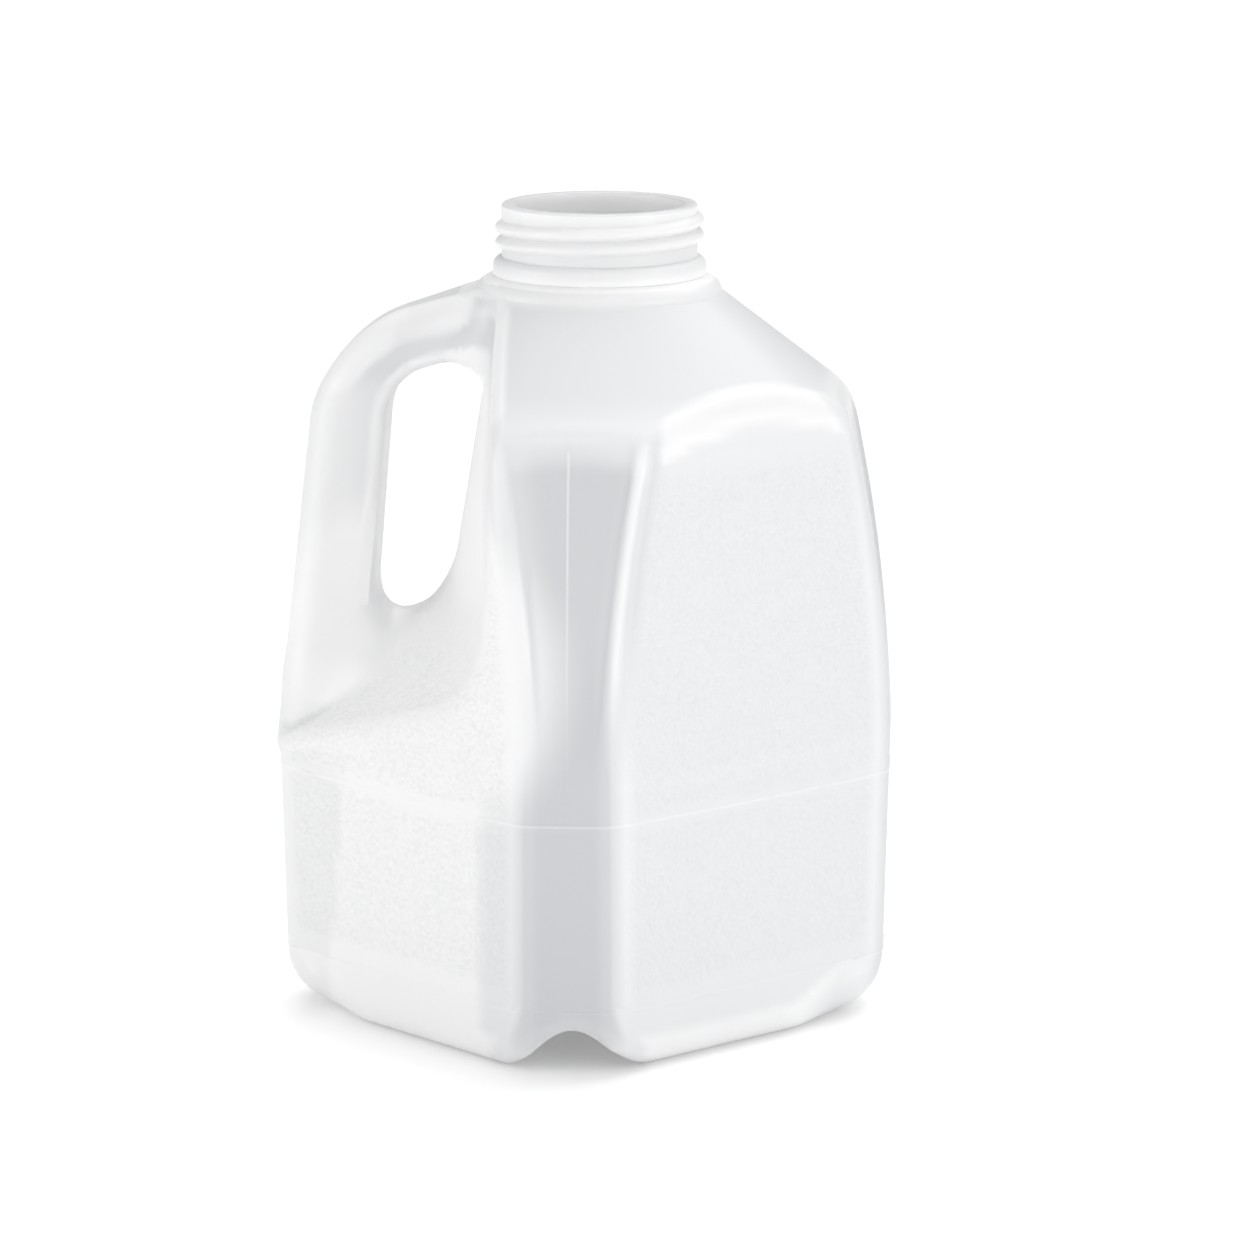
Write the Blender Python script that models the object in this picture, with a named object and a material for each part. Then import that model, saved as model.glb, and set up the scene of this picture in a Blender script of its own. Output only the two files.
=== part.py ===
"""A hollow square jug with a corner handle and a threaded neck, as one closed plastic shell."""

import math

import bmesh
import bpy
import numpy as np

# All sizes are millimetres, drawn around a thread of THREAD_DRAWN across.
# The finished jug is scaled so that its thread has the size of a standard cap.
THREAD_DRAWN = 37.3
THREAD_REAL = 38.0
METRES_PER_DRAWN_MM = 0.001 * THREAD_REAL / THREAD_DRAWN

# Body: four flat faces, turned so that a chamfered corner points along each axis
FACE_DISTANCE = 44.7
FACE_LEAN = 0.0155
FACE_BULGE = 0.7
FACE_HALF_LENGTH = 33.0
CORNER_DISTANCE = 55.2
CORNER_WIDEST_Z = 52.0
CORNER_LEAN_ABOVE = 0.0056
CORNER_LEAN_POWER = 1.75
CORNER_LEAN_BELOW = 0.026
CORNER_EDGE_ROUNDING = 1.5

# Sunk panels on the three corners that have no handle
PANEL_DEPTH = 0.8
PANEL_MARGIN = 1.2
PANEL_EDGE = 1.8
PANEL_TOP_Z = 112.5
PANEL_TOP_EDGE = 2.5
PANEL_FADE_START_Z = 55.0
PANEL_FADE_LENGTH = 25.0

# Shoulder: a cone round the neck's axis
NECK_X = 2.5
CONE_RADIUS = 24.4
CONE_Z = 129.5
CONE_SLOPE = 1.30
SHOULDER_ROUNDING = 3.0

# Base: four feet, a raised middle and an arched notch under two corners
BASE_ROUNDING = 6.5
BASE_CORNER_ROUNDING = 12.0
BASE_NOTCH_ROUNDING = 2.5
BASE_CORNER_START_X = 38.0
BASE_CORNER_LENGTH = 10.0
PUSH_UP_HEIGHT = 4.0
PUSH_UP_EDGE = 35.0
PUSH_UP_SLOPE_LENGTH = 12.0
NOTCH_HEIGHT = 8.4
NOTCH_HALF_WIDTH = 12.6
NOTCH_MIDDLE_X = 0.8
NOTCH_FULLNESS = 1.7
FOOT_TOP_Z = 14.0
FOOT_SPREAD_Z = 7.0

# Pocket behind the handle: a wall with draft on both sides of the middle plane, over a sloping floor
WALL_MIDDLE_X = -18.8
WALL_MIDDLE_Z = 111.4
WALL_MIDDLE_LEAN = 0.165
WALL_EDGE_X = -12.8
WALL_EDGE_Z = 112.0
WALL_EDGE_LEAN = 0.045
WALL_EDGE_Y = 47.0
FLOOR_Z = 98.2
FLOOR_SLOPE_X = 0.82
FLOOR_SLOPE_Y = 0.425
MIDDLE_SOFTNESS = 3.0
POCKET_ROUNDING = 4.0
POCKET_ROUNDING_GROWTH = 3.5
LEDGE_ROUNDING = 1.6
LEDGE_END_X = -21.0
LEDGE_END_Z = 63.5
LEDGE_TURN_X = -14.2
LEDGE_TURN_Z = 82.0

# Handle: a flat-sided tube along a leaning straight, a bend and a short run to the shoulder
BEND_CENTRE_X = -25.2
BEND_CENTRE_Z = 107.0
BEND_RADIUS = 17.3
HANDLE_TOP_RISE = math.radians(17.0)
HANDLE_LEAN = math.radians(5.5)
HANDLE_HALF_DEPTH = 5.15
HANDLE_BEND_GROWTH = 1.8
HANDLE_BEND_GROWTH_Z = 124.0
HANDLE_BEND_GROWTH_LENGTH = 17.0
HANDLE_FOOT_GROWTH = 0.016
HANDLE_HALF_WIDTH = 8.5
HANDLE_ROOT_EXTRA = 4.0
HANDLE_ROOT_START = 0.5
HANDLE_OUTER_ROUNDING = 5.5
HANDLE_INNER_ROUNDING = 2.2
HANDLE_ROOT_END_X = -6.0
HANDLE_FOOT_END_Z = 47.5
HANDLE_ROOT_TOP = ((-23.0, 0.0, 131.8), (-20.5, 8.5, 130.0))
HANDLE_ROOT_SIDE = ((-20.0, 0.0, 122.0), (-19.5, 11.0, 121.5))
HANDLE_FOOT_TILT = 16.0
HANDLE_FOOT_TILT_SHARE = 0.55
HANDLE_BLEND_FOOT = 0.5
HANDLE_BLEND_FLOOR = 11.0
HANDLE_BLEND_TOP = 4.5
HANDLE_FLOOR_START_Z = 50.0
HANDLE_FLOOR_LENGTH = 16.0
HANDLE_TOP_START_Z = 90.0
HANDLE_TOP_LENGTH = 20.0
HANDLE_ARCH_Z = 119.5
HANDLE_ARCH_HALF_HEIGHT = 8.0
HANDLE_ARCH_BLEND = 5.0

# Neck: flare, bead, plain wall, thread and rim
CREASE_RADIUS = 21.9
CREASE_Z = 131.3
FLARE_TOP_RADIUS = 18.9
FLARE_TOP_Z = 134.4
FLARE_ROW_SHARES = (0.35, 0.7, 1.0)
BEAD_RADIUS = 19.1
BEAD_FOOT_GAP = 0.15
BEAD_SIDE_TOP_Z = 136.1
BEAD_EDGE = 0.5
BEAD_EDGE_HEIGHT = 1.05
BEAD_TOP_Z = 137.7
NECK_RADIUS = 17.5
BORE_RADIUS = 15.0
INNER_FLARE_TOP_Z = 135.6
INNER_CREASE_RADIUS = 21.2
INNER_FLARE_ROW_SHARES = (0.4, 0.8, 1.0)
RIM_Z = 147.1
RIM_EDGE = 0.3
RIM_INNER_EDGE = 0.6
THREAD_HEIGHT = THREAD_DRAWN / 2 - NECK_RADIUS
THREAD_START_Z = 140.15
THREAD_PITCH = 2.7
THREAD_TURNS = 1.6
THREAD_FADE_TURNS = 0.08
THREAD_HALF_WIDTH = 1.05
THREAD_FLANK = 0.6
THREAD_FIRST_ROW_Z = 138.2
THREAD_LAST_ROW_Z = 146.2
THREAD_ROWS = 15

WALL = 0.9

# Mesh: guide columns on half the jug run from the handle's corner to the opposite corner
HALF_COLUMNS = 13
COLUMNS = 2 * HALF_COLUMNS
HANDLE_EDGE_COLUMN = 1
WALL_EDGE_COLUMN = 4
FIRST_FOOT_COLUMN = 5
NEAR_CORNER_COLUMN = 7
LAST_FOOT_COLUMN = 9
FAR_EDGE_COLUMN = 12
NOTCH_COLUMN_REACH = 0.9
BASE_ROW_SHARES = (0.13, 0.38, 0.62, 0.8, 0.85, 0.93)
BASE_FLAT_SHARE = 0.9
BASE_EDGE_RISE = 1.5
SIDE_ROW_HEIGHTS = (7.0, 13.5, 23.0, 34.0, 45.5)
SIDE_ROW_NOTCH_GAP = 4.0
POCKET_ROW_HEIGHTS = (53.0, 59.5, 66.5, 74.0, 82.0, 91.0, 100.5, 109.5)
FLOOR_ROW_SHARES = (0.0, 0.28, 0.55, 0.8, 1.0)
WALL_ROW_HEIGHTS = (91.0, 103.0, 115.5)
WALL_ROW_DROPS = (0.5, 2.0, 3.5)
WALL_TOP_REACH = 0.97
WALL_TOP_SPREAD = 1.15
FLOOR_END_Z = 76.0
SHOULDER_ROW_SHARES = (0.33, 0.68)
HANDLE_RINGS = 9
HANDLE_TOP_RUN = 5.5
HANDLE_FOOT_RUN = 44.0
HANDLE_GUIDE_REACH = 5.5
HANDLE_GUIDE_CORNER_Y = 7.0
SUBDIVISIONS = 1
PULL_STEPS = 5
LARGEST_PULL = 3.0
LEAST_STEEPNESS = 0.25
LEAST_SLOPE_Z = 0.3
SLOPE_STEP = 0.02
SHARP_ANGLE = math.radians(40.0)

PLASTIC_COLOUR = (0.86, 0.87, 0.86, 1.0)
PLASTIC_ROUGHNESS = 0.38


def ease(share):
    """Rise smoothly from 0 to 1 as share does, and stay flat outside that range."""
    share = np.clip(share, 0.0, 1.0)
    return share * share * (3.0 - 2.0 * share)


def round_max(first, second, radius):
    """Intersect two depth fields, with the edge between them rounded."""
    over_first = np.maximum(first + radius, 0.0)
    over_second = np.maximum(second + radius, 0.0)
    return np.minimum(np.maximum(first, second), -radius) + np.hypot(over_first, over_second)


def round_min(first, second, radius):
    """Join two depth fields, with the corner between them filled."""
    return -round_max(-first, -second, radius)


def soft_distance(y):
    """Distance from the middle plane, rounded off where it is zero."""
    return np.hypot(y, MIDDLE_SOFTNESS) - MIDDLE_SOFTNESS


def face_distance(z):
    """How far the four faces stand from the middle at height z."""
    return FACE_DISTANCE - FACE_LEAN * np.abs(z - CORNER_WIDEST_Z)


def corner_distance(z):
    """How far the corner chamfers stand from the middle at height z."""
    above = np.maximum(z - CORNER_WIDEST_Z, 0.0)
    below = np.maximum(CORNER_WIDEST_Z - z, 0.0)
    return CORNER_DISTANCE - CORNER_LEAN_ABOVE * above ** CORNER_LEAN_POWER - CORNER_LEAN_BELOW * below


def chamfer_half_width(z):
    """Half the width of a corner chamfer at height z."""
    return math.sqrt(2.0) * face_distance(z) - corner_distance(z)


def panel_sink(across, z):
    """How deep a corner's panel is sunk, across its chamfer and up its height."""
    sides = ease((chamfer_half_width(z) - PANEL_MARGIN - np.abs(across)) / PANEL_EDGE)
    top = ease((PANEL_TOP_Z - z) / PANEL_TOP_EDGE)
    fade = ease((z - PANEL_FADE_START_Z) / PANEL_FADE_LENGTH)
    return PANEL_DEPTH * sides * top * fade


def side_form(x, y, z):
    """Depth field of the faces and corner chamfers."""
    along = (np.abs(x) - np.abs(y)) / math.sqrt(2.0)
    bulge = FACE_BULGE * np.maximum(1.0 - (along / FACE_HALF_LENGTH) ** 2, 0.0)
    bulge = bulge * np.maximum(1.0 - ((z - CORNER_WIDEST_Z) / CORNER_WIDEST_Z) ** 2, 0.0)
    faces = (np.abs(x) + np.abs(y)) / math.sqrt(2.0) - face_distance(z) - bulge
    front_back = np.abs(y) - corner_distance(z) + panel_sink(x, z)
    left_right = np.abs(x) - corner_distance(z) + np.where(x > 0.0, panel_sink(y, z), 0.0)
    sides = round_max(faces, front_back, CORNER_EDGE_ROUNDING)
    return round_max(sides, left_right, CORNER_EDGE_ROUNDING)


def cone_form(x, y, z):
    """Depth field of the shoulder cone."""
    radius = np.hypot(x - NECK_X, y)
    return (radius - CONE_RADIUS + CONE_SLOPE * (z - CONE_Z)) / math.hypot(1.0, CONE_SLOPE)


def base_height(x, y):
    """Height of the underside: a raised middle and a notch to the front and back corners."""
    square = (np.abs(x) + np.abs(y)) / math.sqrt(2.0)
    push_up = PUSH_UP_HEIGHT * ease((PUSH_UP_EDGE - square) / PUSH_UP_SLOPE_LENGTH)
    from_corner = CORNER_DISTANCE - BASE_CORNER_ROUNDING - np.maximum(np.abs(x), np.abs(y))
    push_up = push_up * ease(from_corner / PUSH_UP_SLOPE_LENGTH)
    across = np.clip(np.abs(x - NOTCH_MIDDLE_X) / NOTCH_HALF_WIDTH, 0.0, 1.0)
    notch = NOTCH_HEIGHT * np.cos(across * math.pi / 2.0) ** NOTCH_FULLNESS
    notch = notch * ease((np.abs(y) - PUSH_UP_SLOPE_LENGTH) / PUSH_UP_SLOPE_LENGTH)
    return np.maximum(push_up, notch), notch


def pocket_form(x, y, z):
    """Depth field of the space cut away behind the handle."""
    middle = WALL_MIDDLE_X - WALL_MIDDLE_LEAN * (WALL_MIDDLE_Z - z)
    edge = WALL_EDGE_X - WALL_EDGE_LEAN * (WALL_EDGE_Z - z)
    share = soft_distance(y) / WALL_EDGE_Y
    draft = math.cos(math.atan((WALL_EDGE_X - WALL_MIDDLE_X) / WALL_EDGE_Y))
    behind_wall = (x - middle - (edge - middle) * share) * draft
    floor = FLOOR_Z + FLOOR_SLOPE_X * x - FLOOR_SLOPE_Y * soft_distance(y)
    below_floor = (floor - z) / math.sqrt(1.0 + FLOOR_SLOPE_X ** 2 + FLOOR_SLOPE_Y ** 2)
    return round_max(behind_wall, below_floor, POCKET_ROUNDING + POCKET_ROUNDING_GROWTH * share)


def handle_directions():
    """Directions of the handle's two straight runs, seen in the middle plane, away from the bend."""
    top = (math.cos(HANDLE_TOP_RISE), math.sin(HANDLE_TOP_RISE))
    foot = (-math.sin(HANDLE_LEAN), -math.cos(HANDLE_LEAN))
    return top, foot


def handle_form(x, y, z):
    """Depth field of the handle tube."""
    top, foot = handle_directions()
    from_x = x - BEND_CENTRE_X
    from_z = z - BEND_CENTRE_Z
    along_top = from_x * top[0] + from_z * top[1]
    along_foot = from_x * foot[0] + from_z * foot[1]
    outward = np.hypot(from_x, from_z)
    outward = np.where(along_top > 0.0, -from_x * top[1] + from_z * top[0], outward)
    use_foot = (along_foot > 0.0) & (along_foot > along_top)
    outward = np.where(use_foot, from_x * foot[1] - from_z * foot[0], outward) - BEND_RADIUS
    bend_growth = HANDLE_BEND_GROWTH * ease((HANDLE_BEND_GROWTH_Z - z) / HANDLE_BEND_GROWTH_LENGTH)
    foot_growth = HANDLE_FOOT_GROWTH * np.maximum(BEND_CENTRE_Z - z, 0.0)
    half_depth = HANDLE_HALF_DEPTH + bend_growth + foot_growth
    root_share = ease((x - BEND_CENTRE_X) / BEND_RADIUS + HANDLE_ROOT_START)
    half_width = HANDLE_HALF_WIDTH + HANDLE_ROOT_EXTRA * root_share
    flat_side = np.abs(y) - half_width
    outer_side = round_max(outward - half_depth, flat_side, HANDLE_OUTER_ROUNDING)
    inner_side = round_max(-outward - half_depth, flat_side, HANDLE_INNER_ROUNDING)
    tube = np.maximum(outer_side, inner_side)
    ends = np.maximum(x - HANDLE_ROOT_END_X, HANDLE_FOOT_END_Z - z)
    return np.maximum(tube, ends)


def handle_blend(z):
    """Radius of the fillet between the handle and the body at height z."""
    rise = ease((z - HANDLE_FLOOR_START_Z) / HANDLE_FLOOR_LENGTH)
    fall = ease((z - HANDLE_TOP_START_Z) / HANDLE_TOP_LENGTH)
    arch = ease(1.0 - np.abs(z - HANDLE_ARCH_Z) / HANDLE_ARCH_HALF_HEIGHT)
    low = HANDLE_BLEND_FOOT + (HANDLE_BLEND_FLOOR - HANDLE_BLEND_FOOT) * rise
    return low - (HANDLE_BLEND_FLOOR - HANDLE_BLEND_TOP) * fall + HANDLE_ARCH_BLEND * arch


def jug_form(points):
    """Depth field of the whole jug below its neck: negative inside, zero on its skin."""
    x, y, z = points[:, 0], points[:, 1], points[:, 2]
    body = round_max(side_form(x, y, z), cone_form(x, y, z), SHOULDER_ROUNDING)
    underside, notch = base_height(x, y)
    corner = ease((np.abs(x) - BASE_CORNER_START_X) / BASE_CORNER_LENGTH)
    base_rounding = BASE_ROUNDING + (BASE_CORNER_ROUNDING - BASE_ROUNDING) * corner
    base_rounding = base_rounding - (BASE_ROUNDING - BASE_NOTCH_ROUNDING) * notch / NOTCH_HEIGHT
    body = round_max(body, underside - z, base_rounding)
    body = round_max(body, -pocket_form(x, y, z), LEDGE_ROUNDING)
    return round_min(body, handle_form(x, y, z), handle_blend(z))


def form_slope(points):
    """Gradient of the jug's depth field at each point."""
    slope = np.empty_like(points)
    for axis in range(3):
        shift = np.zeros(3)
        shift[axis] = SLOPE_STEP
        slope[:, axis] = (jug_form(points + shift) - jug_form(points - shift)) / (2.0 * SLOPE_STEP)
    return slope


def pull_to_form(points):
    """Move points along the slope until they lie on the jug's skin."""
    for _ in range(PULL_STEPS):
        slope = form_slope(points)
        steepness = np.maximum((slope ** 2).sum(axis=1), LEAST_STEEPNESS)
        move = jug_form(points) / steepness
        points = points - np.clip(move, -LARGEST_PULL, LARGEST_PULL)[:, None] * slope
    return points


def outline_station(column, z):
    """Place of a guide column on the plain body outline at height z, on the near half."""
    corner = float(corner_distance(z))
    half = float(chamfer_half_width(z))
    foot = half + (NOTCH_HALF_WIDTH - half) * float(ease((FOOT_TOP_Z - z) / FOOT_SPREAD_Z))
    foot_y = corner + half - foot
    marks = {
        0: (-corner, 0.0),
        HANDLE_EDGE_COLUMN: (-corner, half),
        FIRST_FOOT_COLUMN: (-foot, foot_y),
        NEAR_CORNER_COLUMN - 1: (-foot / 2.0, corner),
        NEAR_CORNER_COLUMN: (0.0, corner),
        NEAR_CORNER_COLUMN + 1: (foot / 2.0, corner),
        LAST_FOOT_COLUMN: (foot, foot_y),
        FAR_EDGE_COLUMN: (corner, half),
        HALF_COLUMNS: (corner, 0.0),
    }
    if column in marks:
        return marks[column]
    start, end = (LAST_FOOT_COLUMN, FAR_EDGE_COLUMN)
    if column < FIRST_FOOT_COLUMN:
        start, end = (HANDLE_EDGE_COLUMN, FIRST_FOOT_COLUMN)
    share = (column - start) / (end - start)
    first, last = marks[start], marks[end]
    return (first[0] + (last[0] - first[0]) * share, first[1] + (last[1] - first[1]) * share)


def wall_station(column, z):
    """Place of a guide column on the pocket's wall at height z."""
    share = column / WALL_EDGE_COLUMN
    middle = WALL_MIDDLE_X - WALL_MIDDLE_LEAN * (WALL_MIDDLE_Z - z)
    edge = WALL_EDGE_X - WALL_EDGE_LEAN * (WALL_EDGE_Z - z)
    return (middle + (edge - middle) * share, WALL_EDGE_Y * share, z)


def cone_height(x, y):
    """Height of the shoulder cone above a place."""
    return CONE_Z - (math.hypot(x - NECK_X, y) - CONE_RADIUS) / CONE_SLOPE


def wall_top_station(column):
    """Guide point on the edge where the pocket's wall meets the shoulder."""
    y = WALL_EDGE_Y * WALL_TOP_REACH * (column / WALL_EDGE_COLUMN) ** WALL_TOP_SPREAD
    x = WALL_MIDDLE_X + (WALL_EDGE_X - WALL_MIDDLE_X) * y / WALL_EDGE_Y
    return (x, y, cone_height(x, y))


def floor_station(column, share):
    """Place of a guide column on the pocket's floor, from its ledge (share 0) to the wall (share 1)."""
    if column == WALL_EDGE_COLUMN:
        return ledge_end_station(share)
    ledge_x, ledge_y = outline_station(column, POCKET_ROW_HEIGHTS[0])
    foot_x, foot_y, _ = wall_station(column, FLOOR_END_Z)
    x = ledge_x + (foot_x - ledge_x) * share
    y = ledge_y + (foot_y - ledge_y) * share
    z = FLOOR_Z + FLOOR_SLOPE_X * x - FLOOR_SLOPE_Y * y
    return (x, y, z)


def ledge_end_station(share):
    """Guide point where the ledge's edge curves up into the edge of the wall."""
    turn = share * math.pi / 2.0
    x = LEDGE_END_X + (LEDGE_TURN_X - LEDGE_END_X) * math.sin(turn)
    z = LEDGE_END_Z + (LEDGE_TURN_Z - LEDGE_END_Z) * (1.0 - math.cos(turn))
    return (x, math.sqrt(2.0) * FACE_DISTANCE + x, z)


def crease_station(column):
    """Place of a guide column on the crease between the shoulder and the flare."""
    angle = math.pi - math.pi * column / HALF_COLUMNS
    return (NECK_X + CREASE_RADIUS * math.cos(angle), CREASE_RADIUS * math.sin(angle), CREASE_Z)


def body_rows():
    """Rows of guide points from the base to the crease, each a function of the column."""
    rows = []
    for share in BASE_ROW_SHARES:
        rows.append(lambda column, share=share: base_point(column, share))
    for z in SIDE_ROW_HEIGHTS:
        rows.append(lambda column, z=z: side_point(column, z))
    for index, z in enumerate(POCKET_ROW_HEIGHTS):
        rows.append(lambda column, index=index, z=z: pocket_row_point(column, index, z))
    for share in SHOULDER_ROW_SHARES:
        rows.append(lambda column, share=share: shoulder_point(column, share))
    rows.append(crease_station)
    return rows


def base_point(column, share):
    """Guide point under the jug, at a share of the way out to the body outline."""
    x, y = outline_station(column, 0.0)
    rise = BASE_EDGE_RISE if share > BASE_FLAT_SHARE else 0.0
    return (x * share, y * share, rise)


def side_point(column, z):
    """Guide point on the lower body, lifted over the notch where that is near."""
    x, y = outline_station(column, z)
    over_notch = abs(x) < NOTCH_HALF_WIDTH * NOTCH_COLUMN_REACH and y > abs(x)
    lift = NOTCH_HEIGHT - z if over_notch else 0.0
    return (x, y, z + max(lift + SIDE_ROW_NOTCH_GAP, 0.0) * math.cos(x / NOTCH_HALF_WIDTH * math.pi / 2.0))


def pocket_row_point(column, index, z):
    """Guide point beside the pocket: on its floor or wall at the handle's end, else on the body."""
    if column > WALL_EDGE_COLUMN:
        x, y = outline_station(column, z)
        return (x, y, z)
    if index < len(FLOOR_ROW_SHARES):
        return floor_station(column, FLOOR_ROW_SHARES[index])
    row = index - len(FLOOR_ROW_SHARES)
    return wall_station(column, WALL_ROW_HEIGHTS[row] - WALL_ROW_DROPS[row] * max(column - 2, 0))


def shoulder_point(column, share):
    """Guide point on the shoulder, at a share of the way up to the crease."""
    if column <= HANDLE_EDGE_COLUMN:
        return HANDLE_ROOT_TOP[column] if share > 0.5 else HANDLE_ROOT_SIDE[column]
    if column <= WALL_EDGE_COLUMN:
        edge = wall_top_station(column)
        high = crease_station(column)
        return edge if share < 0.5 else tuple((a + b) / 2.0 for a, b in zip(edge, high))
    low = pocket_row_point(column, len(POCKET_ROW_HEIGHTS) - 1, POCKET_ROW_HEIGHTS[-1])
    high = crease_station(column)
    x, y, _ = (a + (b - a) * share for a, b in zip(low, high))
    return (x, y, cone_height(x, y))


def near_column(column):
    """Column on the near half that mirrors this one, and the side it is on."""
    if column <= HALF_COLUMNS:
        return column, -1.0
    return COLUMNS - column, 1.0


def make_guide_mesh():
    """Loft the body from rings, with two openings where the handle joins it."""
    bm = bmesh.new()
    column_layer = bm.verts.layers.int.new("column")
    row_layer = bm.verts.layers.int.new("row")
    rows = body_rows()
    made = bmesh.ops.create_circle(bm, cap_ends=True, cap_tris=True, segments=COLUMNS, radius=1.0)
    ring = [v for v in made["verts"] if len(v.link_edges) < COLUMNS]
    for column, vert in enumerate(ring):
        vert[column_layer] = column
    edges = [e for e in bm.edges if e.is_boundary]
    for row, station in enumerate(rows):
        if row > 0:
            extruded = bmesh.ops.extrude_edge_only(bm, edges=edges)["geom"]
            ring = [g for g in extruded if isinstance(g, bmesh.types.BMVert)]
            edges = [g for g in extruded if isinstance(g, bmesh.types.BMEdge)]
        for vert in ring:
            column, side = near_column(vert[column_layer])
            x, y, z = station(column)
            vert.co = (x, side * y, z)
            vert[row_layer] = row
    return bm, column_layer, row_layer


def open_handle_root(bm, column_layer, row_layer, middle_row):
    """Delete the faces round one root of the handle and return its loop of edges."""
    columns = (COLUMNS - 1, 0, 1)
    doomed = []
    for face in bm.faces:
        if all(v[column_layer] in columns and abs(v[row_layer] - middle_row) <= 1 for v in face.verts):
            doomed.append(face)
    loop = {e for f in doomed for e in f.edges if sum(g in doomed for g in e.link_faces) == 1}
    middle = [v for v in bm.verts if v[column_layer] == 0 and v[row_layer] == middle_row]
    bmesh.ops.delete(bm, geom=middle, context="VERTS")
    return list(loop)


def handle_ring(share):
    """Centre and outward direction of the handle at a share of the way from shoulder to foot."""
    top, foot = handle_directions()
    top_angle = math.pi / 2.0 + HANDLE_TOP_RISE
    foot_angle = math.pi - HANDLE_LEAN
    bend_length = BEND_RADIUS * (foot_angle - top_angle)
    along = share * (HANDLE_TOP_RUN + bend_length + HANDLE_FOOT_RUN)
    angle = top_angle + min(max(along - HANDLE_TOP_RUN, 0.0), bend_length) / BEND_RADIUS
    outward = (math.cos(angle), math.sin(angle))
    x = BEND_CENTRE_X + BEND_RADIUS * outward[0]
    z = BEND_CENTRE_Z + BEND_RADIUS * outward[1]
    before = max(HANDLE_TOP_RUN - along, 0.0)
    after = max(along - HANDLE_TOP_RUN - bend_length, 0.0)
    return (x + before * top[0] + after * foot[0], z + before * top[1] + after * foot[1]), outward


def add_handle(bm, column_layer, row_layer):
    """Extrude the handle from its upper root and join it to its lower root."""
    upper_row = len(BASE_ROW_SHARES) + len(SIDE_ROW_HEIGHTS) + len(POCKET_ROW_HEIGHTS)
    lower_row = len(BASE_ROW_SHARES) + len(SIDE_ROW_HEIGHTS) + 1
    edges = open_handle_root(bm, column_layer, row_layer, upper_row)
    lower_loop = open_handle_root(bm, column_layer, row_layer, lower_row)
    for index in range(HANDLE_RINGS):
        extruded = bmesh.ops.extrude_edge_only(bm, edges=edges)["geom"]
        edges = [g for g in extruded if isinstance(g, bmesh.types.BMEdge)]
        share = index / (HANDLE_RINGS - 1)
        (x, z), outward = handle_ring(share)
        for vert in (g for g in extruded if isinstance(g, bmesh.types.BMVert)):
            column, side = near_column(vert[column_layer])
            rise = vert[row_layer] - upper_row
            reach = HANDLE_GUIDE_REACH * rise
            wide = side * (HANDLE_HALF_WIDTH if rise == 0 else HANDLE_GUIDE_CORNER_Y) * (column > 0)
            tilt = HANDLE_FOOT_TILT * rise * max(share - HANDLE_FOOT_TILT_SHARE, 0.0)
            vert.co = (x + outward[0] * reach, wide, z + outward[1] * reach - tilt)
    bmesh.ops.bridge_loops(bm, edges=edges + lower_loop)


def settle(bm):
    """Pull every vertex onto the jug's form and keep the open top ring on the crease."""
    verts = list(bm.verts)
    points = np.array([v.co for v in verts], dtype=float)
    top = np.array([v.is_boundary for v in verts])
    angle = np.arctan2(points[top, 1], points[top, 0] - NECK_X)
    points = pull_to_form(points)
    crease_x = NECK_X + CREASE_RADIUS * np.cos(angle)
    crease = np.column_stack((crease_x, CREASE_RADIUS * np.sin(angle), np.full(angle.shape, CREASE_Z)))
    for _ in range(PULL_STEPS):
        crease[:, 2] -= jug_form(crease) / np.maximum(form_slope(crease)[:, 2], LEAST_SLOPE_Z)
    points[top] = crease
    for vert, point in zip(verts, points):
        vert.co = point


def thread_radius(angle, z):
    """Outer radius of the neck wall with its right-hand thread, at an angle and height."""
    turn = ((angle - math.pi) / (2.0 * math.pi)) % 1.0
    height = 0.0
    for whole in range(2):
        turns = turn + whole
        fade = min(turns, THREAD_TURNS - turns) / THREAD_FADE_TURNS
        off = abs(z - THREAD_START_Z - THREAD_PITCH * turns)
        shape = (THREAD_HALF_WIDTH - off) / THREAD_FLANK
        height = max(height, min(max(fade, 0.0), 1.0) * min(max(shape, 0.0), 1.0))
    return NECK_RADIUS + THREAD_HEIGHT * height


def extrude_neck(bm, edges, crease_rise, rows):
    """Extrude a ring of edges through rows of (radius function, height)."""
    for radius_at, z_at in rows:
        extruded = bmesh.ops.extrude_edge_only(bm, edges=edges)["geom"]
        edges = [g for g in extruded if isinstance(g, bmesh.types.BMEdge)]
        for vert in (g for g in extruded if isinstance(g, bmesh.types.BMVert)):
            angle = math.atan2(vert.co.y, vert.co.x - NECK_X)
            z = z_at(crease_rise, angle)
            radius = radius_at(angle, z)
            vert.co = (NECK_X + radius * math.cos(angle), radius * math.sin(angle), z)
    return edges


def fixed(value):
    """A function that gives the same value everywhere."""
    return lambda *_: value


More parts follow.
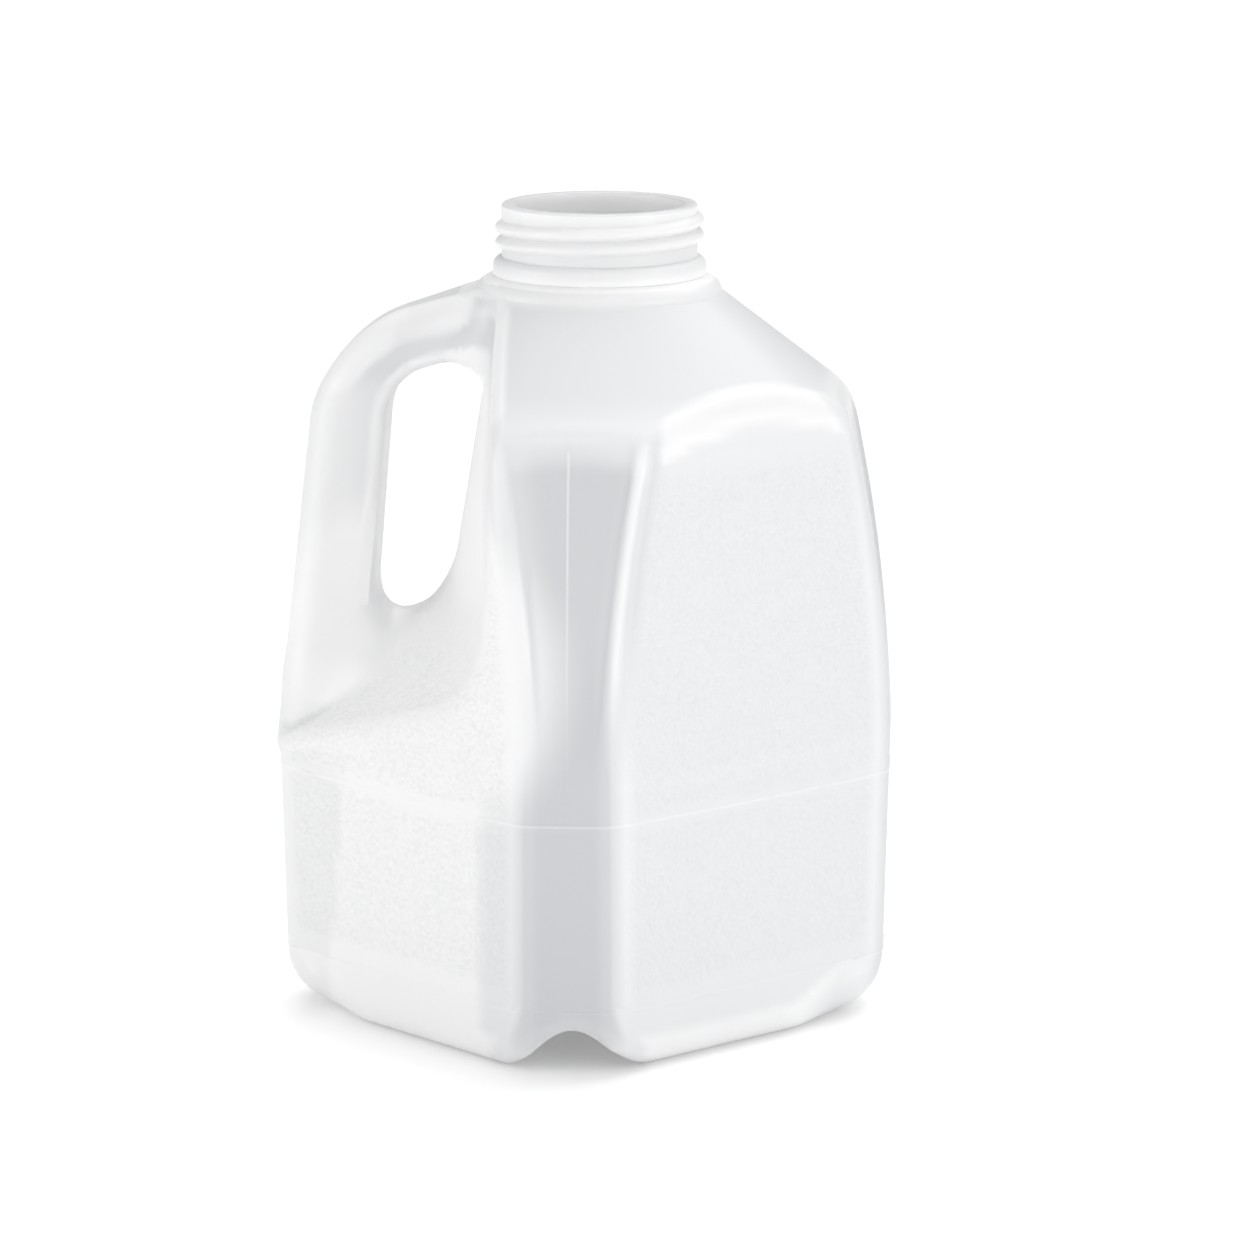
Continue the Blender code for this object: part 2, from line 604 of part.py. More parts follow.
def outer_neck_rows():
    """Rows of the neck's outside, from the flare to the rim."""
    rows = []
    for share in FLARE_ROW_SHARES:
        angle = share * math.pi / 2.0
        radius = FLARE_TOP_RADIUS + (CREASE_RADIUS - FLARE_TOP_RADIUS) * math.cos(angle)
        rise = math.sin(angle)
        rows.append((fixed(radius), lambda crease, at, rise=rise: flare_height(crease, at, rise)))
    rows.append((fixed(BEAD_RADIUS), fixed(FLARE_TOP_Z + BEAD_FOOT_GAP)))
    rows.append((fixed(BEAD_RADIUS), fixed(BEAD_SIDE_TOP_Z)))
    rows.append((fixed(BEAD_RADIUS - BEAD_EDGE), fixed(BEAD_SIDE_TOP_Z + BEAD_EDGE_HEIGHT)))
    rows.append((fixed(NECK_RADIUS), fixed(BEAD_TOP_Z)))
    step = (THREAD_LAST_ROW_Z - THREAD_FIRST_ROW_Z) / (THREAD_ROWS - 1)
    for index in range(THREAD_ROWS):
        rows.append((thread_radius, fixed(THREAD_FIRST_ROW_Z + step * index)))
    rows.append((fixed(NECK_RADIUS), fixed(RIM_Z - RIM_EDGE)))
    rows.append((fixed(NECK_RADIUS - RIM_EDGE), fixed(RIM_Z)))
    return rows


def flare_height(crease, angle, rise):
    """Height on the flare, which starts at the crease's own height in that direction."""
    start = np.interp(angle, crease[0], crease[1])
    return float(start + (FLARE_TOP_Z - start) * rise)


def inner_neck_rows():
    """Rows of the neck's inside, from the rim down to the body's inner skin."""
    rows = [(fixed(BORE_RADIUS + RIM_INNER_EDGE), fixed(RIM_Z))]
    rows.append((fixed(BORE_RADIUS), fixed(RIM_Z - RIM_INNER_EDGE)))
    rows.append((fixed(BORE_RADIUS), fixed(INNER_FLARE_TOP_Z)))
    for share in INNER_FLARE_ROW_SHARES:
        angle = share * math.pi / 2.0
        radius = BORE_RADIUS + (INNER_CREASE_RADIUS - BORE_RADIUS) * (1.0 - math.cos(angle))
        rise = 1.0 - math.sin(angle)
        rows.append((fixed(radius), lambda crease, at, rise=rise: inner_flare_height(crease, at, rise)))
    return rows


def inner_flare_height(crease, angle, rise):
    """Height on the inside of the flare, which starts a wall below the crease in that direction."""
    start = np.interp(angle, crease[0], crease[1]) - WALL
    return float(start + (INNER_FLARE_TOP_Z - start) * rise)


def close_shell(bm):
    """Give the open skin its inner wall and its neck, and join the two at the rim."""
    outer_faces = list(bm.faces)
    outer_edges = [e for e in bm.edges if e.is_boundary]
    copied = bmesh.ops.duplicate(bm, geom=list(bm.verts) + list(bm.edges) + outer_faces)["geom"]
    inner_verts = [g for g in copied if isinstance(g, bmesh.types.BMVert)]
    inner_edges = [g for g in copied if isinstance(g, bmesh.types.BMEdge) and g.is_boundary]
    points = np.array([v.co for v in inner_verts], dtype=float)
    slope = form_slope(points)
    points = points - WALL * slope / np.linalg.norm(slope, axis=1)[:, None]
    for vert, point in zip(inner_verts, points):
        vert.co = point
    top_ring = {v for e in outer_edges for v in e.verts}
    crease = np.array(sorted((math.atan2(v.co.y, v.co.x - NECK_X), v.co.z) for v in top_ring)).T
    last_edges = extrude_neck(bm, outer_edges, crease, outer_neck_rows() + inner_neck_rows())
    inner_ring = {v for e in inner_edges for v in e.verts}
    joins = {}
    for vert in {v for e in last_edges for v in e.verts}:
        joins[vert] = min(inner_ring, key=lambda other: (other.co.xy - vert.co.xy).length)
    bmesh.ops.weld_verts(bm, targetmap=joins)
    bmesh.ops.recalc_face_normals(bm, faces=bm.faces)


def plastic():
    """Milky unpigmented plastic."""
    material = bpy.data.materials.new("milky_plastic")
    material.use_nodes = True
    shader = material.node_tree.nodes["Principled BSDF"]
    shader.inputs["Base Color"].default_value = PLASTIC_COLOUR
    shader.inputs["Roughness"].default_value = PLASTIC_ROUGHNESS
    shader.inputs["Metallic"].default_value = 0.0
    return material


def make_jug():
    """Build the jug as one named object."""
    bm, column_layer, row_layer = make_guide_mesh()
    add_handle(bm, column_layer, row_layer)
    settle(bm)
    for _ in range(SUBDIVISIONS):
        bmesh.ops.subdivide_edges(bm, edges=bm.edges, cuts=1, use_grid_fill=True)
        settle(bm)
    close_shell(bm)
    bmesh.ops.triangulate(bm, faces=bm.faces)
    bmesh.ops.scale(bm, vec=(METRES_PER_DRAWN_MM,) * 3, verts=bm.verts)
    mesh = bpy.data.meshes.new("jug")
    bm.to_mesh(mesh)
    bm.free()
    mesh.shade_smooth()
    mesh.set_sharp_from_angle(angle=SHARP_ANGLE)
    mesh.materials.append(plastic())
    jug = bpy.data.objects.new("jug", mesh)
    bpy.context.scene.collection.objects.link(jug)
    return jug


def main():
    """Clear the scene and build the jug."""
    for item in list(bpy.data.objects):
        bpy.data.objects.remove(item, do_unlink=True)
    make_jug()


main()
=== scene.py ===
"""The looks of a milky plastic jug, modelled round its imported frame: shell, plastic and studio."""

import math

import bmesh
import bpy
import numpy as np
from mathutils import Matrix, Vector


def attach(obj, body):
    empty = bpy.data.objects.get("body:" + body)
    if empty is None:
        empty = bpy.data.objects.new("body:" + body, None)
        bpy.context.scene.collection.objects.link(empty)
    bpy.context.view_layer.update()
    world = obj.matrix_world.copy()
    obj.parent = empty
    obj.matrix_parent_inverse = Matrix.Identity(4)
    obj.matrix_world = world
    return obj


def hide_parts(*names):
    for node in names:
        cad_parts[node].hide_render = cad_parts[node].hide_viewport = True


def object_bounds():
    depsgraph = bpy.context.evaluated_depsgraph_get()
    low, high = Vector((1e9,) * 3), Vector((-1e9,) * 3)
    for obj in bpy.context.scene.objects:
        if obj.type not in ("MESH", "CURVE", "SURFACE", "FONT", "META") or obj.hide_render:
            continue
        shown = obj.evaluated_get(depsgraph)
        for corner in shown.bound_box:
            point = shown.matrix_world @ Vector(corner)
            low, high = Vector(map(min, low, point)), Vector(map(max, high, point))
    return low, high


bl_info = {
    "name": "Milky plastic jug",
    "version": (1, 0, 0),
    "blender": (4, 5, 0),
    "location": "3D View > Sidebar > Jug",
    "description": "Models a hollow square jug with a corner handle, its plastic and a studio",
    "category": "Add Mesh",
}

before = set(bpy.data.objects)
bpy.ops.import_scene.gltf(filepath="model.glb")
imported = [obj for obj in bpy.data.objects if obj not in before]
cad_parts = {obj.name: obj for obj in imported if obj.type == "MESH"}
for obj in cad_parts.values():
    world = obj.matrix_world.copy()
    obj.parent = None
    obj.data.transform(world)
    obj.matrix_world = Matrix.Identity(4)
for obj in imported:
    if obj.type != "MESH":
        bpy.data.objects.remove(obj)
CAD_LOW, CAD_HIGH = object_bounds()

# All sizes are drawn millimetres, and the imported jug's height gives their real scale
RIM_Z = 147.1
METRES_PER_DRAWN_MM = (CAD_HIGH.z - CAD_LOW.z) / RIM_Z

# Body: four flat faces, turned so that a chamfered corner points along each axis
FACE_DISTANCE = 44.7
FACE_LEAN = 0.0155
FACE_BULGE = 0.7
FACE_HALF_LENGTH = 33.0
CORNER_DISTANCE = 55.2
CORNER_WIDEST_Z = 52.0
CORNER_LEAN_ABOVE = 0.0056
CORNER_LEAN_POWER = 1.75
CORNER_LEAN_BELOW = 0.026
CORNER_EDGE_ROUNDING = 1.5

# Sunk panels on the three corners that have no handle
PANEL_DEPTH = 0.8
PANEL_MARGIN = 1.2
PANEL_EDGE = 1.8
PANEL_TOP_Z = 112.5
PANEL_TOP_EDGE = 2.5
PANEL_FADE_START_Z = 55.0
PANEL_FADE_LENGTH = 25.0

# Shoulder: a cone round the neck's axis
NECK_X = 2.5
CONE_RADIUS = 24.4
CONE_Z = 129.5
CONE_SLOPE = 1.30
SHOULDER_ROUNDING = 3.0

# Base: four feet, a raised middle and an arched notch under two corners
BASE_ROUNDING = 6.5
BASE_CORNER_ROUNDING = 12.0
BASE_NOTCH_ROUNDING = 2.5
BASE_CORNER_START_X = 38.0
BASE_CORNER_LENGTH = 10.0
PUSH_UP_HEIGHT = 4.0
PUSH_UP_EDGE = 35.0
PUSH_UP_SLOPE_LENGTH = 12.0
NOTCH_HEIGHT = 8.4
NOTCH_HALF_WIDTH = 12.6
NOTCH_MIDDLE_X = 0.8
NOTCH_FULLNESS = 1.7
FOOT_TOP_Z = 14.0
FOOT_SPREAD_Z = 7.0

# Pocket behind the handle: a wall with draft on both sides of the middle plane, over a sloping floor
WALL_MIDDLE_X = -18.8
WALL_MIDDLE_Z = 111.4
WALL_MIDDLE_LEAN = 0.165
WALL_EDGE_X = -12.8
WALL_EDGE_Z = 112.0
WALL_EDGE_LEAN = 0.045
WALL_EDGE_Y = 47.0
FLOOR_Z = 98.2
FLOOR_SLOPE_X = 0.82
FLOOR_SLOPE_Y = 0.425
MIDDLE_SOFTNESS = 3.0
POCKET_ROUNDING = 4.0
POCKET_ROUNDING_GROWTH = 3.5
LEDGE_ROUNDING = 1.6
LEDGE_END_X = -21.0
LEDGE_END_Z = 63.5
LEDGE_TURN_X = -14.2
LEDGE_TURN_Z = 82.0

# Handle: a flat-sided tube along a leaning straight, a bend and a short run to the shoulder
BEND_CENTRE_X = -25.2
BEND_CENTRE_Z = 107.0
BEND_RADIUS = 17.3
HANDLE_TOP_RISE = math.radians(17.0)
HANDLE_LEAN = math.radians(5.5)
HANDLE_HALF_DEPTH = 5.15
HANDLE_BEND_GROWTH = 1.8
HANDLE_BEND_GROWTH_Z = 124.0
HANDLE_BEND_GROWTH_LENGTH = 17.0
HANDLE_FOOT_GROWTH = 0.016
HANDLE_HALF_WIDTH = 8.5
HANDLE_ROOT_EXTRA = 4.0
HANDLE_ROOT_START = 0.5
HANDLE_OUTER_ROUNDING = 5.5
HANDLE_INNER_ROUNDING = 1.7
HANDLE_ROOT_END_X = -6.0
HANDLE_FOOT_END_Z = 47.5
HANDLE_ROOT_TOP = ((-23.0, 0.0, 131.8), (-20.5, 8.5, 130.0))
HANDLE_ROOT_SIDE = ((-20.0, 0.0, 122.0), (-19.5, 11.0, 121.5))
HANDLE_FOOT_TILT = 16.0
HANDLE_FOOT_TILT_SHARE = 0.55
HANDLE_BLEND_FOOT = 0.5
HANDLE_BLEND_FLOOR = 11.0
HANDLE_BLEND_TOP = 4.5
HANDLE_FLOOR_START_Z = 50.0
HANDLE_FLOOR_LENGTH = 16.0
HANDLE_TOP_START_Z = 90.0
HANDLE_TOP_LENGTH = 20.0
HANDLE_ARCH_Z = 119.5
HANDLE_ARCH_HALF_HEIGHT = 8.0
HANDLE_ARCH_BLEND = 5.0

# Neck: flare, bead, plain wall, thread and rim
CREASE_RADIUS = 21.9
CREASE_Z = 131.3
FLARE_TOP_RADIUS = 18.9
FLARE_TOP_Z = 134.4
FLARE_ROWS = 10
FLARE_TURN = math.radians(62.0)
BEAD_RADIUS = 19.1
BEAD_FOOT_GAP = 0.15
BEAD_SIDE_TOP_Z = 136.0
BEAD_TOP_Z = 137.7
BEAD_ROWS = 8
NECK_RADIUS = 17.5
BORE_RADIUS = 15.0
INNER_FLARE_TOP_Z = 135.6
INNER_FLARE_ROWS = 6
INNER_CREASE_RADIUS = 21.2
BORE_ROWS = 8
RIM_ROUNDING = 0.45
RIM_ROUNDING_ROWS = 3
THREAD_HEIGHT = 1.15
THREAD_START_ANGLE = math.radians(136.8)
THREAD_START_Z = 139.83
THREAD_PITCH = 2.7
THREAD_TURNS = 1.78
THREAD_FADE_TURNS = 0.08
THREAD_HALF_WIDTH = 1.25
THREAD_FULLNESS = 2.0
THREAD_FIRST_ROW_Z = 138.2
THREAD_LAST_ROW_Z = 146.3
THREAD_ROWS = 40

# Mesh: guide columns on half the jug run from the handle's corner to the opposite corner
HALF_COLUMNS = 13
COLUMNS = 2 * HALF_COLUMNS
HANDLE_EDGE_COLUMN = 1
WALL_EDGE_COLUMN = 4
FIRST_FOOT_COLUMN = 5
NEAR_CORNER_COLUMN = 7
LAST_FOOT_COLUMN = 9
FAR_EDGE_COLUMN = 12
NOTCH_COLUMN_REACH = 0.9
BASE_ROW_SHARES = (0.13, 0.38, 0.62, 0.8, 0.85, 0.93)
BASE_FLAT_SHARE = 0.9
BASE_EDGE_RISE = 1.5
SIDE_ROW_HEIGHTS = (7.0, 13.5, 23.0, 34.0, 45.5)
SIDE_ROW_NOTCH_GAP = 4.0
POCKET_ROW_HEIGHTS = (53.0, 59.5, 66.5, 74.0, 82.0, 91.0, 100.5, 109.5)
FLOOR_ROW_SHARES = (0.0, 0.28, 0.55, 0.8, 1.0)
WALL_ROW_HEIGHTS = (91.0, 103.0, 115.5)
WALL_ROW_DROPS = (0.5, 2.0, 3.5)
WALL_TOP_REACH = 0.97
WALL_TOP_SPREAD = 1.15
FLOOR_END_Z = 76.0
SHOULDER_ROW_SHARES = (0.33, 0.68)
HANDLE_RINGS = 9
HANDLE_TOP_RUN = 5.5
HANDLE_FOOT_RUN = 44.0
HANDLE_GUIDE_REACH = 5.5
HANDLE_GUIDE_CORNER_Y = 7.0
INNER_SUBDIVISIONS = 2
OUTER_EXTRA_SUBDIVISIONS = 1
OUTER_SKIN = 0
INNER_SKIN = 1
PULL_STEPS = 5
LARGEST_PULL = 3.0
LEAST_STEEPNESS = 0.25
LEAST_SLOPE_Z = 0.3
SLOPE_STEP = 0.02
SHARP_ANGLE = math.radians(50.0)

# Fine raised lines left by the mould
WAIST_LINE_Z = 45.5
FOOT_LINE_Z = 12.0
UPRIGHT_LINE_START_Z = 50.0
UPRIGHT_LINE_END_Z = 110.0
UPRIGHT_LINE_HALF_SPAN = 2.0
UPRIGHT_LINE_MIN_Y = 30.0
LINE_REGION = 4.0
LINE_REGION_MIN_Z = 9.5
NECK_LINE_HALF_ANGLE = math.radians(0.8)
NECK_LINE_HEIGHT = 0.18
NECK_LINE_START_SHARE = 0.25
CUT_SNAP = 0.03

# Numbers that are painted on the skin for the plastic to read, among them painted highlight and shade
GRAIN_LAYER = "grain"
LIGHT_AND_SHADE_LAYER = "pale"
PANEL_SHADE_LAYER = "panel"
NECK_LAYER = "neck"

# Where the mould's leathery grain shows
GRAIN_TOP_Z = 108.0
GRAIN_TOP_FADE = 6.0
GRAIN_FOOT_Z = 13.5
GRAIN_FOOT_FADE = 3.0
GRAIN_LINE_GAP = 0.6
GRAIN_LINE_FADE = 1.2
GRAIN_SIDE_MARGIN = 1.5
GRAIN_SIDE_FADE = 3.0
GRAIN_SKIN_DEPTH = 1.2
GRAIN_POCKET_TOP_Z = 86.0
GRAIN_POCKET_FADE = 22.0
GRAIN_INNER_DEPTH = 0.45

# Painted light and shade: highlight on ridges, shade in grooves, lighter on the neck and the bead's foot,
# highlight along the mould lines
BEND_REACH = 1.5
FULL_BEND = 0.28
GROOVE_SHARE = 0.4
MOST_RIDGE = 0.7
SOFT_RIDGE_SHARE = 0.1
PANEL_RIDGE_REACH = 5.0
PANEL_MIN_REACH = 40.0
NECK_PAINTED_LIGHT = 0.3
BEAD_FOOT_REACH = 0.8
LINE_HIGHLIGHT_REACH = 0.3
WAIST_LINE_HIGHLIGHT = 0.3
FOOT_LINE_HIGHLIGHT = 0.1
UPRIGHT_LINE_HIGHLIGHT = 0.5
UPRIGHT_LINE_FADE = 45.0

# Painted light that lifts the shade on the left corner, on the handle's inner side and in the pocket
LEFT_CORNER_START_X = 38.0
LEFT_CORNER_FADE = 6.0
LEFT_CORNER_PAINTED_LIGHT = 0.3
GRIP_PAINTED_LIGHT = 1.6
GRIP_LIGHT_START = 0.75
GRIP_LIGHT_DEPTH = 1.5
GRIP_END_X = -14.0
GRIP_LIGHT_FADE = 6.0
POCKET_LIGHT_MIDDLE = (-27.0, 70.0)
POCKET_LIGHT_REACH = 16.0
POCKET_PAINTED_LIGHT = 1.0

# A painted highlight line at the right of a corner's panel, and a painted shade band beside it
BORDER_FADE = 8.0
BORDER_FOOT_Z = 50.0
BORDER_FOOT_FADE = 45.0
BORDER_INSET = 0.3
BORDER_HALF_WIDTH = 0.8
BORDER_LINE_SHARE = 1.3
BORDER_BAND_GAP = 1.9
BORDER_BAND_HALF_WIDTH = 1.1
BORDER_BAND_SHARE = 1.6

# Painted shade on the corner panels and the shoulder, and a darker top on the rim
PANEL_FOOT_SPREAD = 4.0
PANEL_SHADE_TOP_FADE = 6.0
PANEL_SHADE_DEPTH = 3.0
PANEL_SHADE_EDGE = 2.0
PANEL_SHADE_SPREAD = 1.0
PANEL_SOFT_EDGE = 8.0
PANEL_ARCH = 3.0
LEFT_CORNER_SHADE = 0.15
SHOULDER_SHADE = 0.4
RIM_TINT = 0.8
RIM_TINT_DEPTH = 0.3

# Plastic, in metres
PLASTIC_IOR = 1.52
GLOSS_ROUGHNESS = 0.25
MILK_SPREAD = (1.0, 1.0, 1.0)
MILK_SCALE = 0.0015
NECK_MILK_SCALE = 0.006
CLOUD_SCALE = 25.0
CLOUD_DETAIL = 4.0
GRAIN_SMOOTHNESS = 0.6
GRAIN_RIPPLE = 0.8
GRAIN_RIPPLE_DETAIL = 2.0
GRAIN_PIT_START = 0.8
GRAIN_PIT_END = 1.3
GRAIN_PIT_SHADE = 0.2
WAVE_SCALE = 60.0
WAVE_DETAIL = 2.0
WAVE_DEPTH = 0.0003

# Studio, in metres, and the camera, in drawn millimetres
WHITE = (1.0, 1.0, 1.0, 1.0)
SIDE_LIGHTS = (("left_softbox", (-0.86, -0.3, 0.25)), ("right_softbox", (0.74, -0.48, 0.22)))
SIDE_LIGHT_SIZE = 0.55
FRONT_LIGHT = (0.0, -0.7, 0.65)
FRONT_LIGHT_SIZE = 0.7
TOP_LIGHT_SPREAD = math.radians(66.0)
TOP_LIGHT_TILT = math.radians(-24.0)
TOP_LIGHT_TURN = math.radians(11.0)
CAMERA_LENS = 169.4
CAMERA_SENSOR = 36.0
CAMERA_NEAREST_M = 0.01
CAMERA_TURN = math.radians(3.2)
CAMERA_TILT = math.radians(11.3)
CAMERA_HEIGHT = 279.1
CAMERA_SIDESTEP = 4.9
CAMERA_DISTANCE = 1047.0


def ease(share):
    """Rise smoothly from 0 to 1 as share does, and stay flat outside that range."""
    share = np.clip(share, 0.0, 1.0)
    return share * share * (3.0 - 2.0 * share)


def round_max(first, second, radius):
    """Intersect two depth fields, with the edge between them rounded."""
    over_first = np.maximum(first + radius, 0.0)
    over_second = np.maximum(second + radius, 0.0)
    return np.minimum(np.maximum(first, second), -radius) + np.hypot(over_first, over_second)


def round_min(first, second, radius):
    """Join two depth fields, with the corner between them filled."""
    return -round_max(-first, -second, radius)


def soft_distance(y):
    """Distance from the middle plane, rounded off where it is zero."""
    return np.hypot(y, MIDDLE_SOFTNESS) - MIDDLE_SOFTNESS


def face_distance(z):
    """How far the four faces stand from the middle at height z."""
    return FACE_DISTANCE - FACE_LEAN * np.abs(z - CORNER_WIDEST_Z)


def corner_distance(z):
    """How far the corner chamfers stand from the middle at height z."""
    above = np.maximum(z - CORNER_WIDEST_Z, 0.0)
    below = np.maximum(CORNER_WIDEST_Z - z, 0.0)
    return CORNER_DISTANCE - CORNER_LEAN_ABOVE * above ** CORNER_LEAN_POWER - CORNER_LEAN_BELOW * below


def chamfer_half_width(z):
    """Half the width of a corner chamfer at height z."""
    return math.sqrt(2.0) * face_distance(z) - corner_distance(z)


def panel_sink(across, z):
    """How deep a corner's panel is sunk, across its chamfer and up its height."""
    sides = ease((chamfer_half_width(z) - PANEL_MARGIN - np.abs(across)) / PANEL_EDGE)
    top = ease((PANEL_TOP_Z - z) / PANEL_TOP_EDGE)
    fade = ease((z - PANEL_FADE_START_Z) / PANEL_FADE_LENGTH)
    return PANEL_DEPTH * sides * top * fade


def side_form(x, y, z):
    """Depth field of the faces and corner chamfers."""
    along = (np.abs(x) - np.abs(y)) / math.sqrt(2.0)
    bulge = FACE_BULGE * np.maximum(1.0 - (along / FACE_HALF_LENGTH) ** 2, 0.0)
    bulge = bulge * np.maximum(1.0 - ((z - CORNER_WIDEST_Z) / CORNER_WIDEST_Z) ** 2, 0.0)
    faces = (np.abs(x) + np.abs(y)) / math.sqrt(2.0) - face_distance(z) - bulge
    front_back = np.abs(y) - corner_distance(z) + panel_sink(x, z)
    left_right = np.abs(x) - corner_distance(z) + np.where(x > 0.0, panel_sink(y, z), 0.0)
    sides = round_max(faces, front_back, CORNER_EDGE_ROUNDING)
    return round_max(sides, left_right, CORNER_EDGE_ROUNDING)


def cone_form(x, y, z):
    """Depth field of the shoulder cone."""
    radius = np.hypot(x - NECK_X, y)
    return (radius - CONE_RADIUS + CONE_SLOPE * (z - CONE_Z)) / math.hypot(1.0, CONE_SLOPE)


def base_height(x, y):
    """Height of the underside: a raised middle and a notch to the front and back corners."""
    square = (np.abs(x) + np.abs(y)) / math.sqrt(2.0)
    push_up = PUSH_UP_HEIGHT * ease((PUSH_UP_EDGE - square) / PUSH_UP_SLOPE_LENGTH)
    from_corner = CORNER_DISTANCE - BASE_CORNER_ROUNDING - np.maximum(np.abs(x), np.abs(y))
    push_up = push_up * ease(from_corner / PUSH_UP_SLOPE_LENGTH)
    across = np.clip(np.abs(x - NOTCH_MIDDLE_X) / NOTCH_HALF_WIDTH, 0.0, 1.0)
    notch = NOTCH_HEIGHT * np.cos(across * math.pi / 2.0) ** NOTCH_FULLNESS
    notch = notch * ease((np.abs(y) - PUSH_UP_SLOPE_LENGTH) / PUSH_UP_SLOPE_LENGTH)
    return np.maximum(push_up, notch), notch


def wall_line(z):
    """Where the pocket's wall stands at height z: in the middle and at its edge."""
    middle = WALL_MIDDLE_X - WALL_MIDDLE_LEAN * (WALL_MIDDLE_Z - z)
    edge = WALL_EDGE_X - WALL_EDGE_LEAN * (WALL_EDGE_Z - z)
    return middle, edge


def pocket_form(x, y, z):
    """Depth field of the space cut away behind the handle."""
    middle, edge = wall_line(z)
    share = soft_distance(y) / WALL_EDGE_Y
    draft = math.cos(math.atan((WALL_EDGE_X - WALL_MIDDLE_X) / WALL_EDGE_Y))
    behind_wall = (x - middle - (edge - middle) * share) * draft
    floor = FLOOR_Z + FLOOR_SLOPE_X * x - FLOOR_SLOPE_Y * soft_distance(y)
    below_floor = (floor - z) / math.sqrt(1.0 + FLOOR_SLOPE_X ** 2 + FLOOR_SLOPE_Y ** 2)
    return round_max(behind_wall, below_floor, POCKET_ROUNDING + POCKET_ROUNDING_GROWTH * share)


def handle_directions():
    """Directions of the handle's two straight runs, seen in the middle plane, away from the bend."""
    top = (math.cos(HANDLE_TOP_RISE), math.sin(HANDLE_TOP_RISE))
    foot = (-math.sin(HANDLE_LEAN), -math.cos(HANDLE_LEAN))
    return top, foot


def handle_outward(x, z):
    """Distance from the handle's middle line, away from the bend's centre."""
    top, foot = handle_directions()
    from_x = x - BEND_CENTRE_X
    from_z = z - BEND_CENTRE_Z
    along_top = from_x * top[0] + from_z * top[1]
    along_foot = from_x * foot[0] + from_z * foot[1]
    outward = np.hypot(from_x, from_z)
    outward = np.where(along_top > 0.0, -from_x * top[1] + from_z * top[0], outward)
    use_foot = (along_foot > 0.0) & (along_foot > along_top)
    return np.where(use_foot, from_x * foot[1] - from_z * foot[0], outward) - BEND_RADIUS


def handle_half_depth(z):
    """Half the handle's size from its outer to its inner side at height z."""
    bend_growth = HANDLE_BEND_GROWTH * ease((HANDLE_BEND_GROWTH_Z - z) / HANDLE_BEND_GROWTH_LENGTH)
    foot_growth = HANDLE_FOOT_GROWTH * np.maximum(BEND_CENTRE_Z - z, 0.0)
    return HANDLE_HALF_DEPTH + bend_growth + foot_growth


def handle_form(x, y, z):
    """Depth field of the handle tube."""
    outward = handle_outward(x, z)
    half_depth = handle_half_depth(z)
    root = ease((x - BEND_CENTRE_X) / BEND_RADIUS + HANDLE_ROOT_START)
    half_width = HANDLE_HALF_WIDTH + HANDLE_ROOT_EXTRA * root
    flat_side = np.abs(y) - half_width
    outer_side = round_max(outward - half_depth, flat_side, HANDLE_OUTER_ROUNDING)
    inner_side = round_max(-outward - half_depth, flat_side, HANDLE_INNER_ROUNDING)
    tube = np.maximum(outer_side, inner_side)
    ends = np.maximum(x - HANDLE_ROOT_END_X, HANDLE_FOOT_END_Z - z)
    return np.maximum(tube, ends)


def handle_blend(z):
    """Radius of the fillet between the handle and the body at height z."""
    rise = ease((z - HANDLE_FLOOR_START_Z) / HANDLE_FLOOR_LENGTH)
    fall = ease((z - HANDLE_TOP_START_Z) / HANDLE_TOP_LENGTH)
    arch = ease(1.0 - np.abs(z - HANDLE_ARCH_Z) / HANDLE_ARCH_HALF_HEIGHT)
    low = HANDLE_BLEND_FOOT + (HANDLE_BLEND_FLOOR - HANDLE_BLEND_FOOT) * rise
    return low - (HANDLE_BLEND_FLOOR - HANDLE_BLEND_TOP) * fall + HANDLE_ARCH_BLEND * arch


def jug_form(points):
    """Depth field of the whole jug below its neck: negative inside, zero on its skin."""
    x, y, z = points.T
    body = round_max(side_form(x, y, z), cone_form(x, y, z), SHOULDER_ROUNDING)
    underside, notch = base_height(x, y)
    corner = ease((np.abs(x) - BASE_CORNER_START_X) / BASE_CORNER_LENGTH)
    base_rounding = BASE_ROUNDING + (BASE_CORNER_ROUNDING - BASE_ROUNDING) * corner
    base_rounding = base_rounding - (BASE_ROUNDING - BASE_NOTCH_ROUNDING) * notch / NOTCH_HEIGHT
    body = round_max(body, underside - z, base_rounding)
    body = round_max(body, -pocket_form(x, y, z), LEDGE_ROUNDING)
    return round_min(body, handle_form(x, y, z), handle_blend(z))


def form_slope(points):
    """Gradient of the jug's depth field at each point."""
    slope = np.empty_like(points)
    for axis, shift in enumerate(np.eye(3) * SLOPE_STEP):
        slope[:, axis] = (jug_form(points + shift) - jug_form(points - shift)) / (2.0 * SLOPE_STEP)
    return slope


def pull_to_form(points):
    """Move points along the slope until they lie on the jug's skin."""
    for _ in range(PULL_STEPS):
        slope = form_slope(points)
        steepness = np.maximum((slope ** 2).sum(axis=1), LEAST_STEEPNESS)
        move = jug_form(points) / steepness
        points = points - np.clip(move, -LARGEST_PULL, LARGEST_PULL)[:, None] * slope
    return points


def between(first, last, share):
    """The place at a share of the way from the first to the last."""
    return tuple(a + (b - a) * share for a, b in zip(first, last))


